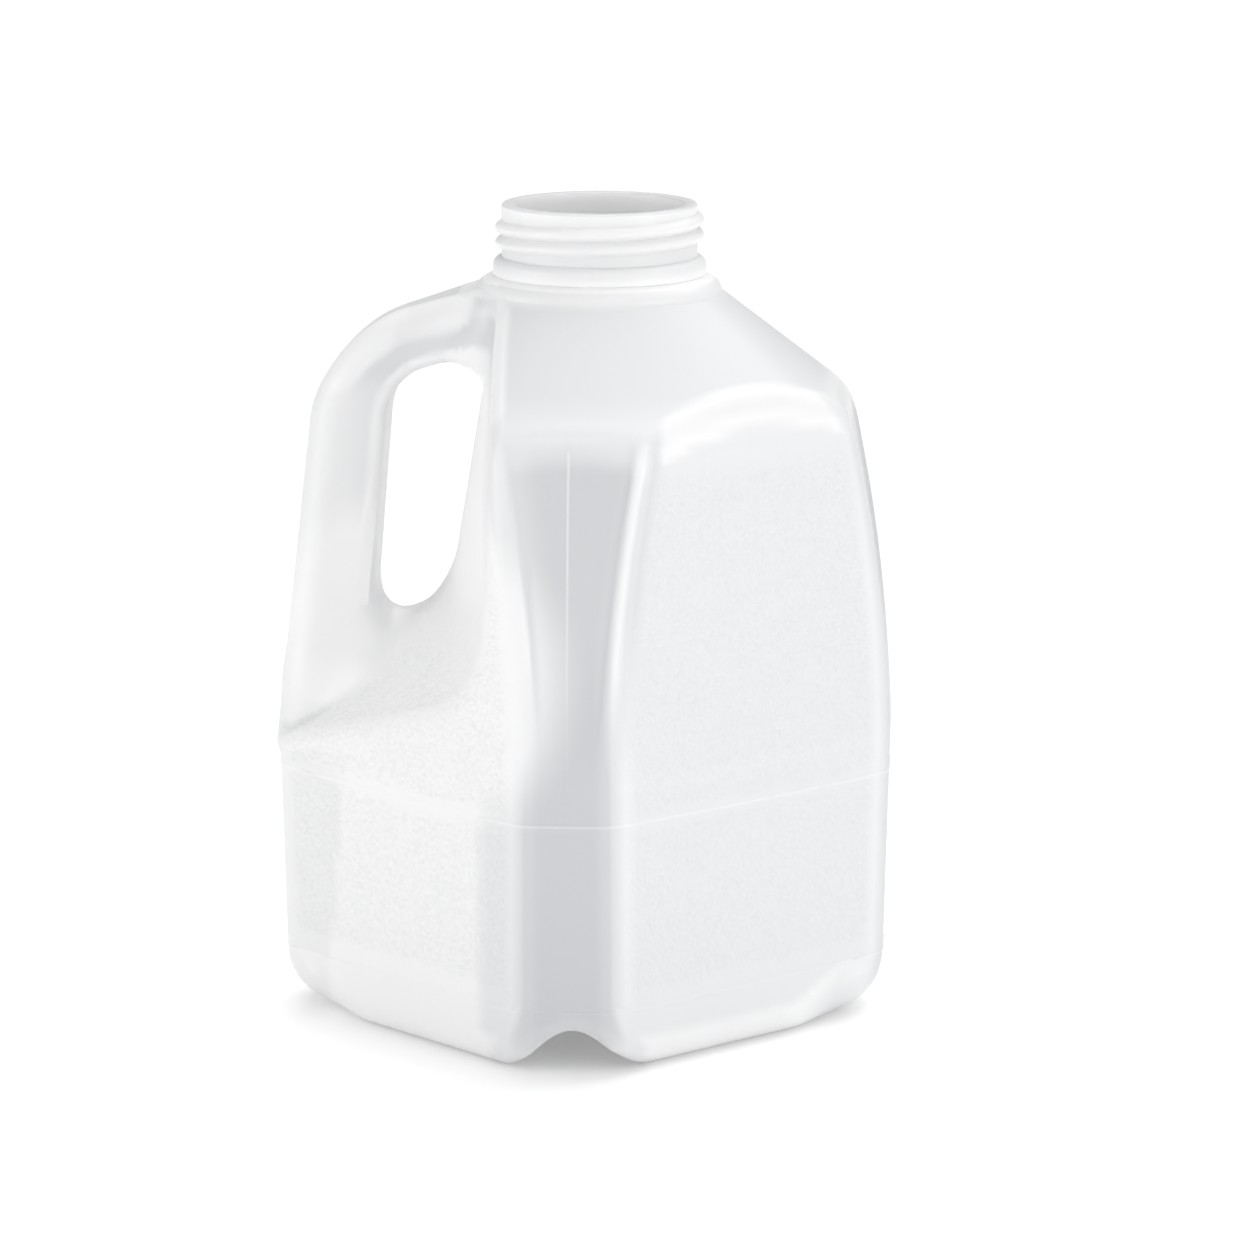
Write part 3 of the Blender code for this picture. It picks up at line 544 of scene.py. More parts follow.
def outline_station(column, z):
    """Place of a guide column on the plain body outline at height z, on the near half."""
    corner = float(corner_distance(z))
    half = float(chamfer_half_width(z))
    foot = half + (NOTCH_HALF_WIDTH - half) * float(ease((FOOT_TOP_Z - z) / FOOT_SPREAD_Z))
    foot_y = corner + half - foot
    marks = {
        0: (-corner, 0.0),
        HANDLE_EDGE_COLUMN: (-corner, half),
        FIRST_FOOT_COLUMN: (-foot, foot_y),
        NEAR_CORNER_COLUMN - 1: (-foot / 2.0, corner),
        NEAR_CORNER_COLUMN: (0.0, corner),
        NEAR_CORNER_COLUMN + 1: (foot / 2.0, corner),
        LAST_FOOT_COLUMN: (foot, foot_y),
        FAR_EDGE_COLUMN: (corner, half),
        HALF_COLUMNS: (corner, 0.0),
    }
    if column in marks:
        return marks[column]
    start, end = (LAST_FOOT_COLUMN, FAR_EDGE_COLUMN)
    if column < FIRST_FOOT_COLUMN:
        start, end = (HANDLE_EDGE_COLUMN, FIRST_FOOT_COLUMN)
    return between(marks[start], marks[end], (column - start) / (end - start))


def wall_station(column, z):
    """Place of a guide column on the pocket's wall at height z."""
    share = column / WALL_EDGE_COLUMN
    middle, edge = wall_line(z)
    return (middle + (edge - middle) * share, WALL_EDGE_Y * share, z)


def cone_height(x, y):
    """Height of the shoulder cone above a place."""
    return CONE_Z - (math.hypot(x - NECK_X, y) - CONE_RADIUS) / CONE_SLOPE


def wall_top_station(column):
    """Guide point on the edge where the pocket's wall meets the shoulder."""
    y = WALL_EDGE_Y * WALL_TOP_REACH * (column / WALL_EDGE_COLUMN) ** WALL_TOP_SPREAD
    x = WALL_MIDDLE_X + (WALL_EDGE_X - WALL_MIDDLE_X) * y / WALL_EDGE_Y
    return (x, y, cone_height(x, y))


def floor_station(column, share):
    """Place of a guide column on the pocket's floor, from its ledge (share 0) to the wall (share 1)."""
    if column == WALL_EDGE_COLUMN:
        return ledge_end_station(share)
    ledge = outline_station(column, POCKET_ROW_HEIGHTS[0])
    x, y = between(ledge, wall_station(column, FLOOR_END_Z), share)
    return (x, y, FLOOR_Z + FLOOR_SLOPE_X * x - FLOOR_SLOPE_Y * y)


def ledge_end_station(share):
    """Guide point where the ledge's edge curves up into the edge of the wall."""
    turn = share * math.pi / 2.0
    x = LEDGE_END_X + (LEDGE_TURN_X - LEDGE_END_X) * math.sin(turn)
    z = LEDGE_END_Z + (LEDGE_TURN_Z - LEDGE_END_Z) * (1.0 - math.cos(turn))
    return (x, math.sqrt(2.0) * FACE_DISTANCE + x, z)


def crease_station(column):
    """Place of a guide column on the crease between the shoulder and the flare."""
    angle = math.pi - math.pi * column / HALF_COLUMNS
    return (NECK_X + CREASE_RADIUS * math.cos(angle), CREASE_RADIUS * math.sin(angle), CREASE_Z)


def body_rows():
    """Rows of guide points from the base to the crease, each a function of the column."""
    rows = []
    for share in BASE_ROW_SHARES:
        rows.append(lambda column, share=share: base_point(column, share))
    for z in SIDE_ROW_HEIGHTS:
        rows.append(lambda column, z=z: side_point(column, z))
    for index, z in enumerate(POCKET_ROW_HEIGHTS):
        rows.append(lambda column, index=index, z=z: pocket_row_point(column, index, z))
    for share in SHOULDER_ROW_SHARES:
        rows.append(lambda column, share=share: shoulder_point(column, share))
    rows.append(crease_station)
    return rows


def base_point(column, share):
    """Guide point under the jug, at a share of the way out to the body outline."""
    x, y = outline_station(column, 0.0)
    rise = BASE_EDGE_RISE if share > BASE_FLAT_SHARE else 0.0
    return (x * share, y * share, rise)


def side_point(column, z):
    """Guide point on the lower body, lifted over the notch where that is near."""
    x, y = outline_station(column, z)
    over_notch = abs(x) < NOTCH_HALF_WIDTH * NOTCH_COLUMN_REACH and y > abs(x)
    lift = NOTCH_HEIGHT - z if over_notch else 0.0
    return (x, y, z + max(lift + SIDE_ROW_NOTCH_GAP, 0.0) * math.cos(x / NOTCH_HALF_WIDTH * math.pi / 2.0))


def pocket_row_point(column, index, z):
    """Guide point beside the pocket: on its floor or wall at the handle's end, else on the body."""
    if column > WALL_EDGE_COLUMN:
        x, y = outline_station(column, z)
        return (x, y, z)
    if index < len(FLOOR_ROW_SHARES):
        return floor_station(column, FLOOR_ROW_SHARES[index])
    row = index - len(FLOOR_ROW_SHARES)
    past_handle = max(column - HANDLE_EDGE_COLUMN - 1, 0)
    return wall_station(column, WALL_ROW_HEIGHTS[row] - WALL_ROW_DROPS[row] * past_handle)


def shoulder_point(column, share):
    """Guide point on the shoulder, at a share of the way up to the crease."""
    if column <= HANDLE_EDGE_COLUMN:
        return HANDLE_ROOT_TOP[column] if share > 0.5 else HANDLE_ROOT_SIDE[column]
    if column <= WALL_EDGE_COLUMN:
        edge = wall_top_station(column)
        high = crease_station(column)
        return edge if share < 0.5 else tuple((a + b) / 2.0 for a, b in zip(edge, high))
    low = pocket_row_point(column, len(POCKET_ROW_HEIGHTS) - 1, POCKET_ROW_HEIGHTS[-1])
    high = crease_station(column)
    x, y, _ = between(low, high, share)
    return (x, y, cone_height(x, y))


def near_column(column):
    """Column on the near half that mirrors this one, and the side it is on."""
    if column <= HALF_COLUMNS:
        return column, -1.0
    return COLUMNS - column, 1.0


def extrude_ring(bm, edges):
    """Extrude a ring of edges and return its new vertices and edges."""
    made = bmesh.ops.extrude_edge_only(bm, edges=edges)["geom"]
    verts = [g for g in made if isinstance(g, bmesh.types.BMVert)]
    return verts, [g for g in made if isinstance(g, bmesh.types.BMEdge)]


def make_guide_mesh():
    """Loft the body from rings, capped at the base."""
    bm = bmesh.new()
    column_layer = bm.verts.layers.int.new("column")
    row_layer = bm.verts.layers.int.new("row")
    rows = body_rows()
    made = bmesh.ops.create_circle(bm, cap_ends=True, cap_tris=True, segments=COLUMNS, radius=1.0)
    ring = [v for v in made["verts"] if len(v.link_edges) < COLUMNS]
    for column, vert in enumerate(ring):
        vert[column_layer] = column
    edges = [e for e in bm.edges if e.is_boundary]
    for row, station in enumerate(rows):
        if row > 0:
            ring, edges = extrude_ring(bm, edges)
        for vert in ring:
            column, side = near_column(vert[column_layer])
            x, y, z = station(column)
            vert.co = (x, side * y, z)
            vert[row_layer] = row
    return bm, column_layer, row_layer


def unique(items):
    """The items without repeats, in their own order."""
    return list(dict.fromkeys(items))


def open_handle_root(bm, column_layer, row_layer, middle_row):
    """Delete the faces round one root of the handle and return its loop of edges."""
    columns = (COLUMNS - 1, 0, 1)
    doomed = []
    for face in bm.faces:
        if all(v[column_layer] in columns and abs(v[row_layer] - middle_row) <= 1 for v in face.verts):
            doomed.append(face)
    loop = unique(e for f in doomed for e in f.edges if sum(g in doomed for g in e.link_faces) == 1)
    middle = [v for v in bm.verts if v[column_layer] == 0 and v[row_layer] == middle_row]
    bmesh.ops.delete(bm, geom=middle, context="VERTS")
    return loop


def handle_ring(share):
    """Centre and outward direction of the handle at a share of the way from shoulder to foot."""
    top, foot = handle_directions()
    top_angle = math.pi / 2.0 + HANDLE_TOP_RISE
    foot_angle = math.pi - HANDLE_LEAN
    bend_length = BEND_RADIUS * (foot_angle - top_angle)
    along = share * (HANDLE_TOP_RUN + bend_length + HANDLE_FOOT_RUN)
    angle = top_angle + min(max(along - HANDLE_TOP_RUN, 0.0), bend_length) / BEND_RADIUS
    outward = (math.cos(angle), math.sin(angle))
    x = BEND_CENTRE_X + BEND_RADIUS * outward[0]
    z = BEND_CENTRE_Z + BEND_RADIUS * outward[1]
    before = max(HANDLE_TOP_RUN - along, 0.0)
    after = max(along - HANDLE_TOP_RUN - bend_length, 0.0)
    return (x + before * top[0] + after * foot[0], z + before * top[1] + after * foot[1]), outward


def add_handle(bm, column_layer, row_layer):
    """Extrude the handle from its upper root and join it to its lower root."""
    upper_row = len(BASE_ROW_SHARES) + len(SIDE_ROW_HEIGHTS) + len(POCKET_ROW_HEIGHTS)
    lower_row = len(BASE_ROW_SHARES) + len(SIDE_ROW_HEIGHTS) + 1
    edges = open_handle_root(bm, column_layer, row_layer, upper_row)
    lower_loop = open_handle_root(bm, column_layer, row_layer, lower_row)
    for index in range(HANDLE_RINGS):
        ring, edges = extrude_ring(bm, edges)
        share = index / (HANDLE_RINGS - 1)
        (x, z), outward = handle_ring(share)
        for vert in ring:
            column, side = near_column(vert[column_layer])
            rise = vert[row_layer] - upper_row
            reach = HANDLE_GUIDE_REACH * rise
            wide = side * (HANDLE_HALF_WIDTH if rise == 0 else HANDLE_GUIDE_CORNER_Y) * (column > 0)
            tilt = HANDLE_FOOT_TILT * rise * max(share - HANDLE_FOOT_TILT_SHARE, 0.0)
            vert.co = (x + outward[0] * reach, wide, z + outward[1] * reach - tilt)
    bmesh.ops.bridge_loops(bm, edges=edges + lower_loop)


def skin_points(verts):
    """Places of vertices as an array."""
    return np.array([v.co for v in verts], dtype=float)


def place(verts, points):
    """Put vertices at an array of places."""
    for vert, point in zip(verts, points):
        vert.co = point


def settle(verts):
    """Pull vertices onto the jug's form and keep the open top ring on the crease."""
    points = skin_points(verts)
    top = np.array([v.is_boundary for v in verts])
    angle = np.arctan2(points[top, 1], points[top, 0] - NECK_X)
    points = pull_to_form(points)
    crease_x = NECK_X + CREASE_RADIUS * np.cos(angle)
    crease = np.column_stack((crease_x, CREASE_RADIUS * np.sin(angle), np.full(angle.shape, CREASE_Z)))
    for _ in range(PULL_STEPS):
        crease[:, 2] -= jug_form(crease) / np.maximum(form_slope(crease)[:, 2], LEAST_SLOPE_Z)
    points[top] = crease
    place(verts, points)


def skin_verts(bm, layer, skin):
    """The vertices of one skin."""
    return [v for v in bm.verts if v[layer] == skin]


def subdivide_skin(bm, layer):
    """Halve the outer skin's quads and settle them."""
    edges = [e for e in bm.edges if e.verts[0][layer] == OUTER_SKIN]
    bmesh.ops.subdivide_edges(bm, edges=edges, cuts=1, use_grid_fill=True)
    settle(skin_verts(bm, layer, OUTER_SKIN))


def raise_mould_line(bm, layer, centre, normal, height, half_width, region):
    """Cut three loops along a plane and lift the middle one off the skin."""
    crest = []
    for offset in (-half_width, half_width, 0.0):
        faces = [f for f in bm.faces if f.verts[0][layer] == OUTER_SKIN and region(f.calc_center_median())]
        geom = unique(v for f in faces for v in f.verts) + unique(e for f in faces for e in f.edges) + faces
        plane = Vector(centre) + Vector(normal) * offset
        cut = bmesh.ops.bisect_plane(bm, geom=geom, dist=CUT_SNAP, plane_co=plane, plane_no=normal)
        crest = [g for g in cut["geom_cut"] if isinstance(g, bmesh.types.BMVert)]
    points = skin_points(crest)
    slope = form_slope(points)
    unit = slope / np.linalg.norm(slope, axis=1)[:, None]
    place(crest, points + unit * height)


def add_mould_lines(bm, layer, height, half_width):
    """Raise the lines that the mould left: two round the body and one up each notched corner."""
    for line_z in (WAIST_LINE_Z, FOOT_LINE_Z):
        region = lambda middle, line_z=line_z: (
            abs(middle.z - line_z) < LINE_REGION and middle.z > LINE_REGION_MIN_Z)
        raise_mould_line(bm, layer, (0.0, 0.0, line_z), (0.0, 0.0, 1.0), height, half_width, region)
    for side in (-1.0, 1.0):
        region = lambda middle, side=side: (
            abs(middle.x) < UPRIGHT_LINE_HALF_SPAN and middle.y * side > UPRIGHT_LINE_MIN_Y
            and UPRIGHT_LINE_START_Z < middle.z < UPRIGHT_LINE_END_Z)
        raise_mould_line(bm, layer, (0.0, 0.0, 0.0), (1.0, 0.0, 0.0), height, half_width, region)


def thread_radius(angle, z):
    """Outer radius of the neck wall with its right-hand thread, at an angle and height."""
    turn = ((angle - THREAD_START_ANGLE) / (2.0 * math.pi)) % 1.0
    height = 0.0
    for whole in range(2):
        turns = turn + whole
        fade = float(ease(min(turns, THREAD_TURNS - turns) / THREAD_FADE_TURNS))
        off = abs(z - THREAD_START_Z - THREAD_PITCH * turns) / THREAD_HALF_WIDTH
        height = max(height, fade * max(1.0 - off ** THREAD_FULLNESS, 0.0))
    return NECK_RADIUS + THREAD_HEIGHT * height


def fixed(value):
    """A function that gives the same value everywhere."""
    return lambda *_: value


def seamed(radius):
    """A function that gives a radius with the mould's line raised at the front and the back."""
    def at(angle, _):
        on_line = abs(abs(angle) - math.pi / 2.0) < NECK_LINE_HALF_ANGLE
        return radius + (NECK_LINE_HEIGHT if on_line else 0.0)
    return at


def shares(count):
    """Even shares of the way, without the start and with the end."""
    return [(index + 1) / count for index in range(count)]


def quarter_turn(count):
    """Angles of a quarter turn in even steps, with both its ends."""
    return [share * math.pi / 2.0 for share in [0.0] + shares(count)]


def flare_height(rise, top_z, drop=0.0):
    """A function that gives the height on the flare, which starts a drop below the crease all round."""
    def at(crease, angle):
        start = np.interp(angle, crease[0], crease[1]) - drop
        return float(start + (top_z - start) * rise)
    return at


def outer_neck_rows():
    """Rows of the neck's outside, from the flare to the rim."""
    rows = []
    for share in shares(FLARE_ROWS):
        angle = share * FLARE_TURN
        out = (math.cos(angle) - math.cos(FLARE_TURN)) / (1.0 - math.cos(FLARE_TURN))
        radius = FLARE_TOP_RADIUS + (CREASE_RADIUS - FLARE_TOP_RADIUS) * out
        rise = math.sin(angle) / math.sin(FLARE_TURN)
        radius_at = seamed(radius) if share > NECK_LINE_START_SHARE else fixed(radius)
        rows.append((radius_at, flare_height(rise, FLARE_TOP_Z)))
    rows.append((seamed(BEAD_RADIUS), fixed(FLARE_TOP_Z + BEAD_FOOT_GAP)))
    for angle in quarter_turn(BEAD_ROWS):
        radius = NECK_RADIUS + (BEAD_RADIUS - NECK_RADIUS) * math.cos(angle)
        z = BEAD_SIDE_TOP_Z + (BEAD_TOP_Z - BEAD_SIDE_TOP_Z) * math.sin(angle)
        rows.append((seamed(radius), fixed(z)))
    for share in [0.0] + shares(THREAD_ROWS):
        z = THREAD_FIRST_ROW_Z + (THREAD_LAST_ROW_Z - THREAD_FIRST_ROW_Z) * share
        rows.append((thread_radius, fixed(z)))
    for angle in quarter_turn(RIM_ROUNDING_ROWS):
        radius = NECK_RADIUS - RIM_ROUNDING * (1.0 - math.cos(angle))
        rows.append((fixed(radius), fixed(RIM_Z - RIM_ROUNDING * (1.0 - math.sin(angle)))))
    return rows


def inner_neck_rows():
    """Rows of the neck's inside, from the rim down to the body's inner skin."""
    rows = []
    for angle in quarter_turn(RIM_ROUNDING_ROWS):
        radius = BORE_RADIUS + RIM_ROUNDING * (1.0 - math.sin(angle))
        rows.append((fixed(radius), fixed(RIM_Z - RIM_ROUNDING * (1.0 - math.cos(angle)))))
    for share in shares(BORE_ROWS):
        z = RIM_Z - RIM_ROUNDING + (INNER_FLARE_TOP_Z - RIM_Z + RIM_ROUNDING) * share
        rows.append((fixed(BORE_RADIUS), fixed(z)))
    for angle in quarter_turn(INNER_FLARE_ROWS)[1:]:
        radius = BORE_RADIUS + (INNER_CREASE_RADIUS - BORE_RADIUS) * (1.0 - math.cos(angle))
        height = flare_height(1.0 - math.sin(angle), INNER_FLARE_TOP_Z, wall_thickness())
        rows.append((fixed(radius), height))
    return rows


def extrude_neck(bm, edges, crease, rows):
    """Extrude a ring of edges through rows of (radius function, height function)."""
    for radius_at, z_at in rows:
        ring, edges = extrude_ring(bm, edges)
        for vert in ring:
            angle = math.atan2(vert.co.y, vert.co.x - NECK_X)
            z = z_at(crease, angle)
            radius = radius_at(angle, z)
            vert.co = (NECK_X + radius * math.cos(angle), radius * math.sin(angle), z)
    return edges


def boundary_edges(bm, layer, skin):
    """The open ring of edges at the top of one skin."""
    return [e for e in bm.edges if e.is_boundary and e.verts[0][layer] == skin]


def add_inner_skin(bm, layer, wall):
    """Copy the whole outer skin a wall's thickness inwards."""
    whole = list(bm.verts) + list(bm.edges) + list(bm.faces)
    copied = bmesh.ops.duplicate(bm, geom=whole)["geom"]
    inner = [g for g in copied if isinstance(g, bmesh.types.BMVert)]
    points = skin_points(inner)
    slope = form_slope(points)
    place(inner, points - wall * slope / np.linalg.norm(slope, axis=1)[:, None])
    for vert in inner:
        vert[layer] = INNER_SKIN


def match_inner_ring(bm, layer, times):
    """Split the inner skin's open ring until it has as many edges as the outer one."""
    for _ in range(times):
        bmesh.ops.subdivide_edges(bm, edges=boundary_edges(bm, layer, INNER_SKIN), cuts=1)


def build_neck(bm, layer):
    """Extrude the neck from the outer skin, over the rim and down to the inner skin's ring."""
    inner_ring = unique(v for e in boundary_edges(bm, layer, INNER_SKIN) for v in e.verts)
    edges = boundary_edges(bm, layer, OUTER_SKIN)
    top_ring = unique(v for e in edges for v in e.verts)
    crease = np.array(sorted((math.atan2(v.co.y, v.co.x - NECK_X), v.co.z) for v in top_ring)).T
    last_edges = extrude_neck(bm, edges, crease, outer_neck_rows() + inner_neck_rows())
    joins = {}
    for vert in unique(v for e in last_edges for v in e.verts):
        joins[vert] = min(inner_ring, key=lambda other: (other.co.xy - vert.co.xy).length)
    bmesh.ops.weld_verts(bm, targetmap=joins)


def grain_shares(points):
    """How strongly the mould's grain shows at each point of the outer skin."""
    x, y, z = points.T
    half_face = (corner_distance(z) - chamfer_half_width(z)) / math.sqrt(2.0)
    along = np.abs(np.abs(x) - np.abs(y)) / math.sqrt(2.0)
    across = ease((half_face - along - GRAIN_SIDE_MARGIN) / GRAIN_SIDE_FADE)
    near_top = ease((GRAIN_TOP_Z - z) / GRAIN_TOP_FADE)
    near_foot = ease((z - GRAIN_FOOT_Z) / GRAIN_FOOT_FADE)
    off_line = ease((np.abs(z - WAIST_LINE_Z) - GRAIN_LINE_GAP) / GRAIN_LINE_FADE)
    on_face = ease(1.0 + side_form(x, y, z) / GRAIN_SKIN_DEPTH)
    on_pocket = ease(1.0 - np.abs(pocket_form(x, y, z)) / GRAIN_SKIN_DEPTH)
    on_pocket = on_pocket * ease((GRAIN_POCKET_TOP_Z - z) / GRAIN_POCKET_FADE)
    return np.maximum(across * near_top * near_foot * off_line * on_face, on_pocket)


def painted_light_shares(points, outside):
    """Painted light and shade at each point: 1 for a painted highlight on a ridge or inside, -1 for painted
    shade in a groove.
    """
    around = np.zeros(len(points))
    for shift in np.eye(3) * BEND_REACH:
        around += jug_form(points + shift) + jug_form(points - shift)
    bend = (around - 6.0 * jug_form(points)) / BEND_REACH ** 2 / FULL_BEND
    # Painted highlight where the skin bends out, painted shade where it bends in.
    bend = np.where(bend > 0.0, bend * ridge_highlight_shares(points), bend * GROOVE_SHARE)
    bend = bend + border_highlight_and_shade(points) + grip_painted_light(points) + line_highlight_shares(points)
    # Painted light on the neck, full at the bead's foot to lift the shade there, none on the rim's top.
    near_bead = np.abs(points[:, 2] - FLARE_TOP_Z) < BEAD_FOOT_REACH
    on_neck = np.where(near_bead, 1.0, NECK_PAINTED_LIGHT)
    on_neck = np.where(points[:, 2] > RIM_Z - RIM_TINT_DEPTH, 0.0, on_neck)
    pale = np.where(points[:, 2] < CREASE_Z, np.clip(bend, -1.0, MOST_RIDGE), on_neck)
    # The inner skin is painted at full highlight, to lighten its shade.
    return np.where(outside, pale, 1.0)


def grip_painted_light(points):
    """How far each point lies on the handle's inner side, in the pocket or on the left corner, which get
    painted light against their shade.
    """
    x, y, z = points.T
    inward = -handle_outward(x, z) - GRIP_LIGHT_START * handle_half_depth(z)
    on_grip = ease(inward / GRIP_LIGHT_DEPTH) * ease((GRIP_END_X - x) / GRIP_LIGHT_FADE)
    from_middle = np.hypot(x - POCKET_LIGHT_MIDDLE[0], z - POCKET_LIGHT_MIDDLE[1])
    left_corner = LEFT_CORNER_PAINTED_LIGHT * ease((-x - LEFT_CORNER_START_X) / LEFT_CORNER_FADE)
    pocket = POCKET_PAINTED_LIGHT * ease(2.0 - from_middle / POCKET_LIGHT_REACH)
    return GRIP_PAINTED_LIGHT * on_grip + pocket + left_corner


def line_highlight_shares(points):
    """How far each point lies on the crest of a mould line, which gets a painted highlight."""
    x, y, z = points.T
    waist = np.abs(z - WAIST_LINE_Z) < LINE_HIGHLIGHT_REACH
    foot = np.abs(z - FOOT_LINE_Z) < LINE_HIGHLIGHT_REACH
    upright = (np.abs(x) < LINE_HIGHLIGHT_REACH) & (np.abs(y) > UPRIGHT_LINE_MIN_Y)
    upright = upright & (z > UPRIGHT_LINE_START_Z) & (z < UPRIGHT_LINE_END_Z)
    upright = upright * ease((z - UPRIGHT_LINE_START_Z) / UPRIGHT_LINE_FADE)
    return waist * WAIST_LINE_HIGHLIGHT + foot * FOOT_LINE_HIGHLIGHT + upright * UPRIGHT_LINE_HIGHLIGHT


def chamfer_edge(z):
    """Half the width of a corner's smooth panel, which widens into the feet."""
    spread = PANEL_FOOT_SPREAD * ease((FOOT_TOP_Z - z) / FOOT_TOP_Z)
    return chamfer_half_width(z) + spread


def ridge_highlight_shares(points):
    """How much a ridge's painted highlight shows: little along the soft edges of the corner panels."""
    x, y, z = points.T
    across = np.minimum(np.abs(x), np.abs(y))
    on_side = ease((PANEL_TOP_Z + PANEL_RIDGE_REACH - z) / PANEL_RIDGE_REACH)
    on_side = on_side * (np.maximum(np.abs(x), np.abs(y)) > PANEL_MIN_REACH)
    near_edge = ease(PANEL_RIDGE_REACH / 2.0 - np.maximum(across - chamfer_edge(z), 0.0))
    return 1.0 - (1.0 - SOFT_RIDGE_SHARE) * on_side * near_edge


def border_highlight_and_shade(points):
    """A painted highlight line along the right edge of the front and back panels, with a painted shade band
    beside it.
    """
    x, y, z = points.T
    on_corner = ease((np.abs(y) - np.abs(x)) / BORDER_FADE) * ease((PANEL_TOP_Z - z) / PANEL_SHADE_TOP_FADE)
    fade = ease((z - BORDER_FOOT_Z) / BORDER_FOOT_FADE) * on_corner
    off_line = x - chamfer_edge(z) + BORDER_INSET
    line = np.exp(-(off_line / BORDER_HALF_WIDTH) ** 2)
    band = np.exp(-((off_line - BORDER_BAND_GAP) / BORDER_BAND_HALF_WIDTH) ** 2)
    return fade * (BORDER_LINE_SHARE * line - BORDER_BAND_SHARE * band)


def panel_shade_shares(points):
    """How far each point lies on a corner's smooth panel, which gets painted shade, with painted shade on
    the shoulder and a darker rim top.
    """
    x, y, z = points.T
    half = chamfer_edge(z) + PANEL_SHADE_SPREAD
    front_back = np.abs(y) > np.abs(x)
    soft_edge = PANEL_SHADE_EDGE + PANEL_SOFT_EDGE * ease((z - BORDER_FOOT_Z) / BORDER_FOOT_FADE)
    left = np.where(front_back, ease((half + x) / soft_edge), ease((half + y) / PANEL_SHADE_EDGE))
    right = np.where(front_back, ease((half - x) / PANEL_SHADE_EDGE), ease((half - y) / PANEL_SHADE_EDGE))
    arch = PANEL_ARCH * (x / half) ** 2 * front_back
    top = ease((PANEL_TOP_Z - arch - z) / PANEL_SHADE_TOP_FADE)
    reach = np.maximum(np.abs(x), np.abs(y))
    near = ease(1.0 + (reach - corner_distance(z)) / PANEL_SHADE_DEPTH)
    near = near * np.where(front_back | (x > 0.0), 1.0, LEFT_CORNER_SHADE)
    shoulder = SHOULDER_SHADE * ease((z - PANEL_TOP_Z) / PANEL_SHADE_TOP_FADE) * (z < CREASE_Z)
    rim = RIM_TINT * (z > RIM_Z - RIM_TINT_DEPTH)
    return near * top * left * right + shoulder + rim


def paint_layer(mesh, name, values):
    """Store one number a vertex on the mesh, for the plastic to read."""
    layer = mesh.attributes.new(name, "FLOAT", "POINT")
    layer.data.foreach_set("value", values.astype(np.float32))


def paint_skin(mesh):
    """Store where the grain is, the painted shade on the smooth panels, and the painted highlight and shade
    where the skin bends.
    """
    points = np.empty(len(mesh.vertices) * 3, np.float32)
    mesh.vertices.foreach_get("co", points)
    points = points.reshape(-1, 3).astype(float) / METRES_PER_DRAWN_MM
    neck_radius = np.hypot(points[:, 0] - NECK_X, points[:, 1])
    on_neck = (points[:, 2] > CREASE_Z) & (neck_radius > BORE_RADIUS + RIM_ROUNDING)
    outside = (jug_form(points) > -GRAIN_INNER_DEPTH) | on_neck
    paint_layer(mesh, GRAIN_LAYER, grain_shares(points) * outside)
    paint_layer(mesh, LIGHT_AND_SHADE_LAYER, painted_light_shares(points, outside))
    paint_layer(mesh, PANEL_SHADE_LAYER, panel_shade_shares(points) * outside)
    paint_layer(mesh, NECK_LAYER, ease(points[:, 2] - BEAD_TOP_Z))


def wall_thickness():
    """The jug's wall, in drawn millimetres."""
    return bpy.context.scene.jug_shell.wall / METRES_PER_DRAWN_MM


def keep_object(name, data):
    """Put a mesh, light or camera in the scene, at the origin."""
    piece = bpy.data.objects.new(name, data)
    bpy.context.scene.collection.objects.link(piece)
    return piece


def size_setting(name, description, default, least, most):
    """A length that the user can set."""
    return bpy.props.FloatProperty(
        name=name, description=description, default=default, min=least, max=most, unit="LENGTH", precision=5)


def colour_setting(name, description, default):
    """A colour that the user can set."""
    return bpy.props.FloatVectorProperty(
        name=name, description=description, default=default, min=0.0, max=1.0, subtype="COLOR", size=3)


def share_setting(name, description, default):
    """A share from 0 to 1 that the user can set."""
    return bpy.props.FloatProperty(
        name=name, description=description, default=default, min=0.0, max=1.0, subtype="FACTOR")


def strength_setting(name, description, default):
    """A light's strength or power that the user can set."""
    return bpy.props.FloatProperty(name=name, description=description, default=default, min=0.0)


class ShellSizes(bpy.types.PropertyGroup):
    """Sizes of the jug's shell that a user would change."""

    wall: size_setting("Wall", "Thickness of the plastic", 0.00092, 0.0004, 0.0012)
    line_height: size_setting(
        "Mould line height", "How far the mould lines stand off the skin", 0.00012, 0.0, 0.0005)
    line_width: size_setting(
        "Mould line width", "Width of a mould line at its foot", 0.0007, 0.0002, 0.002)


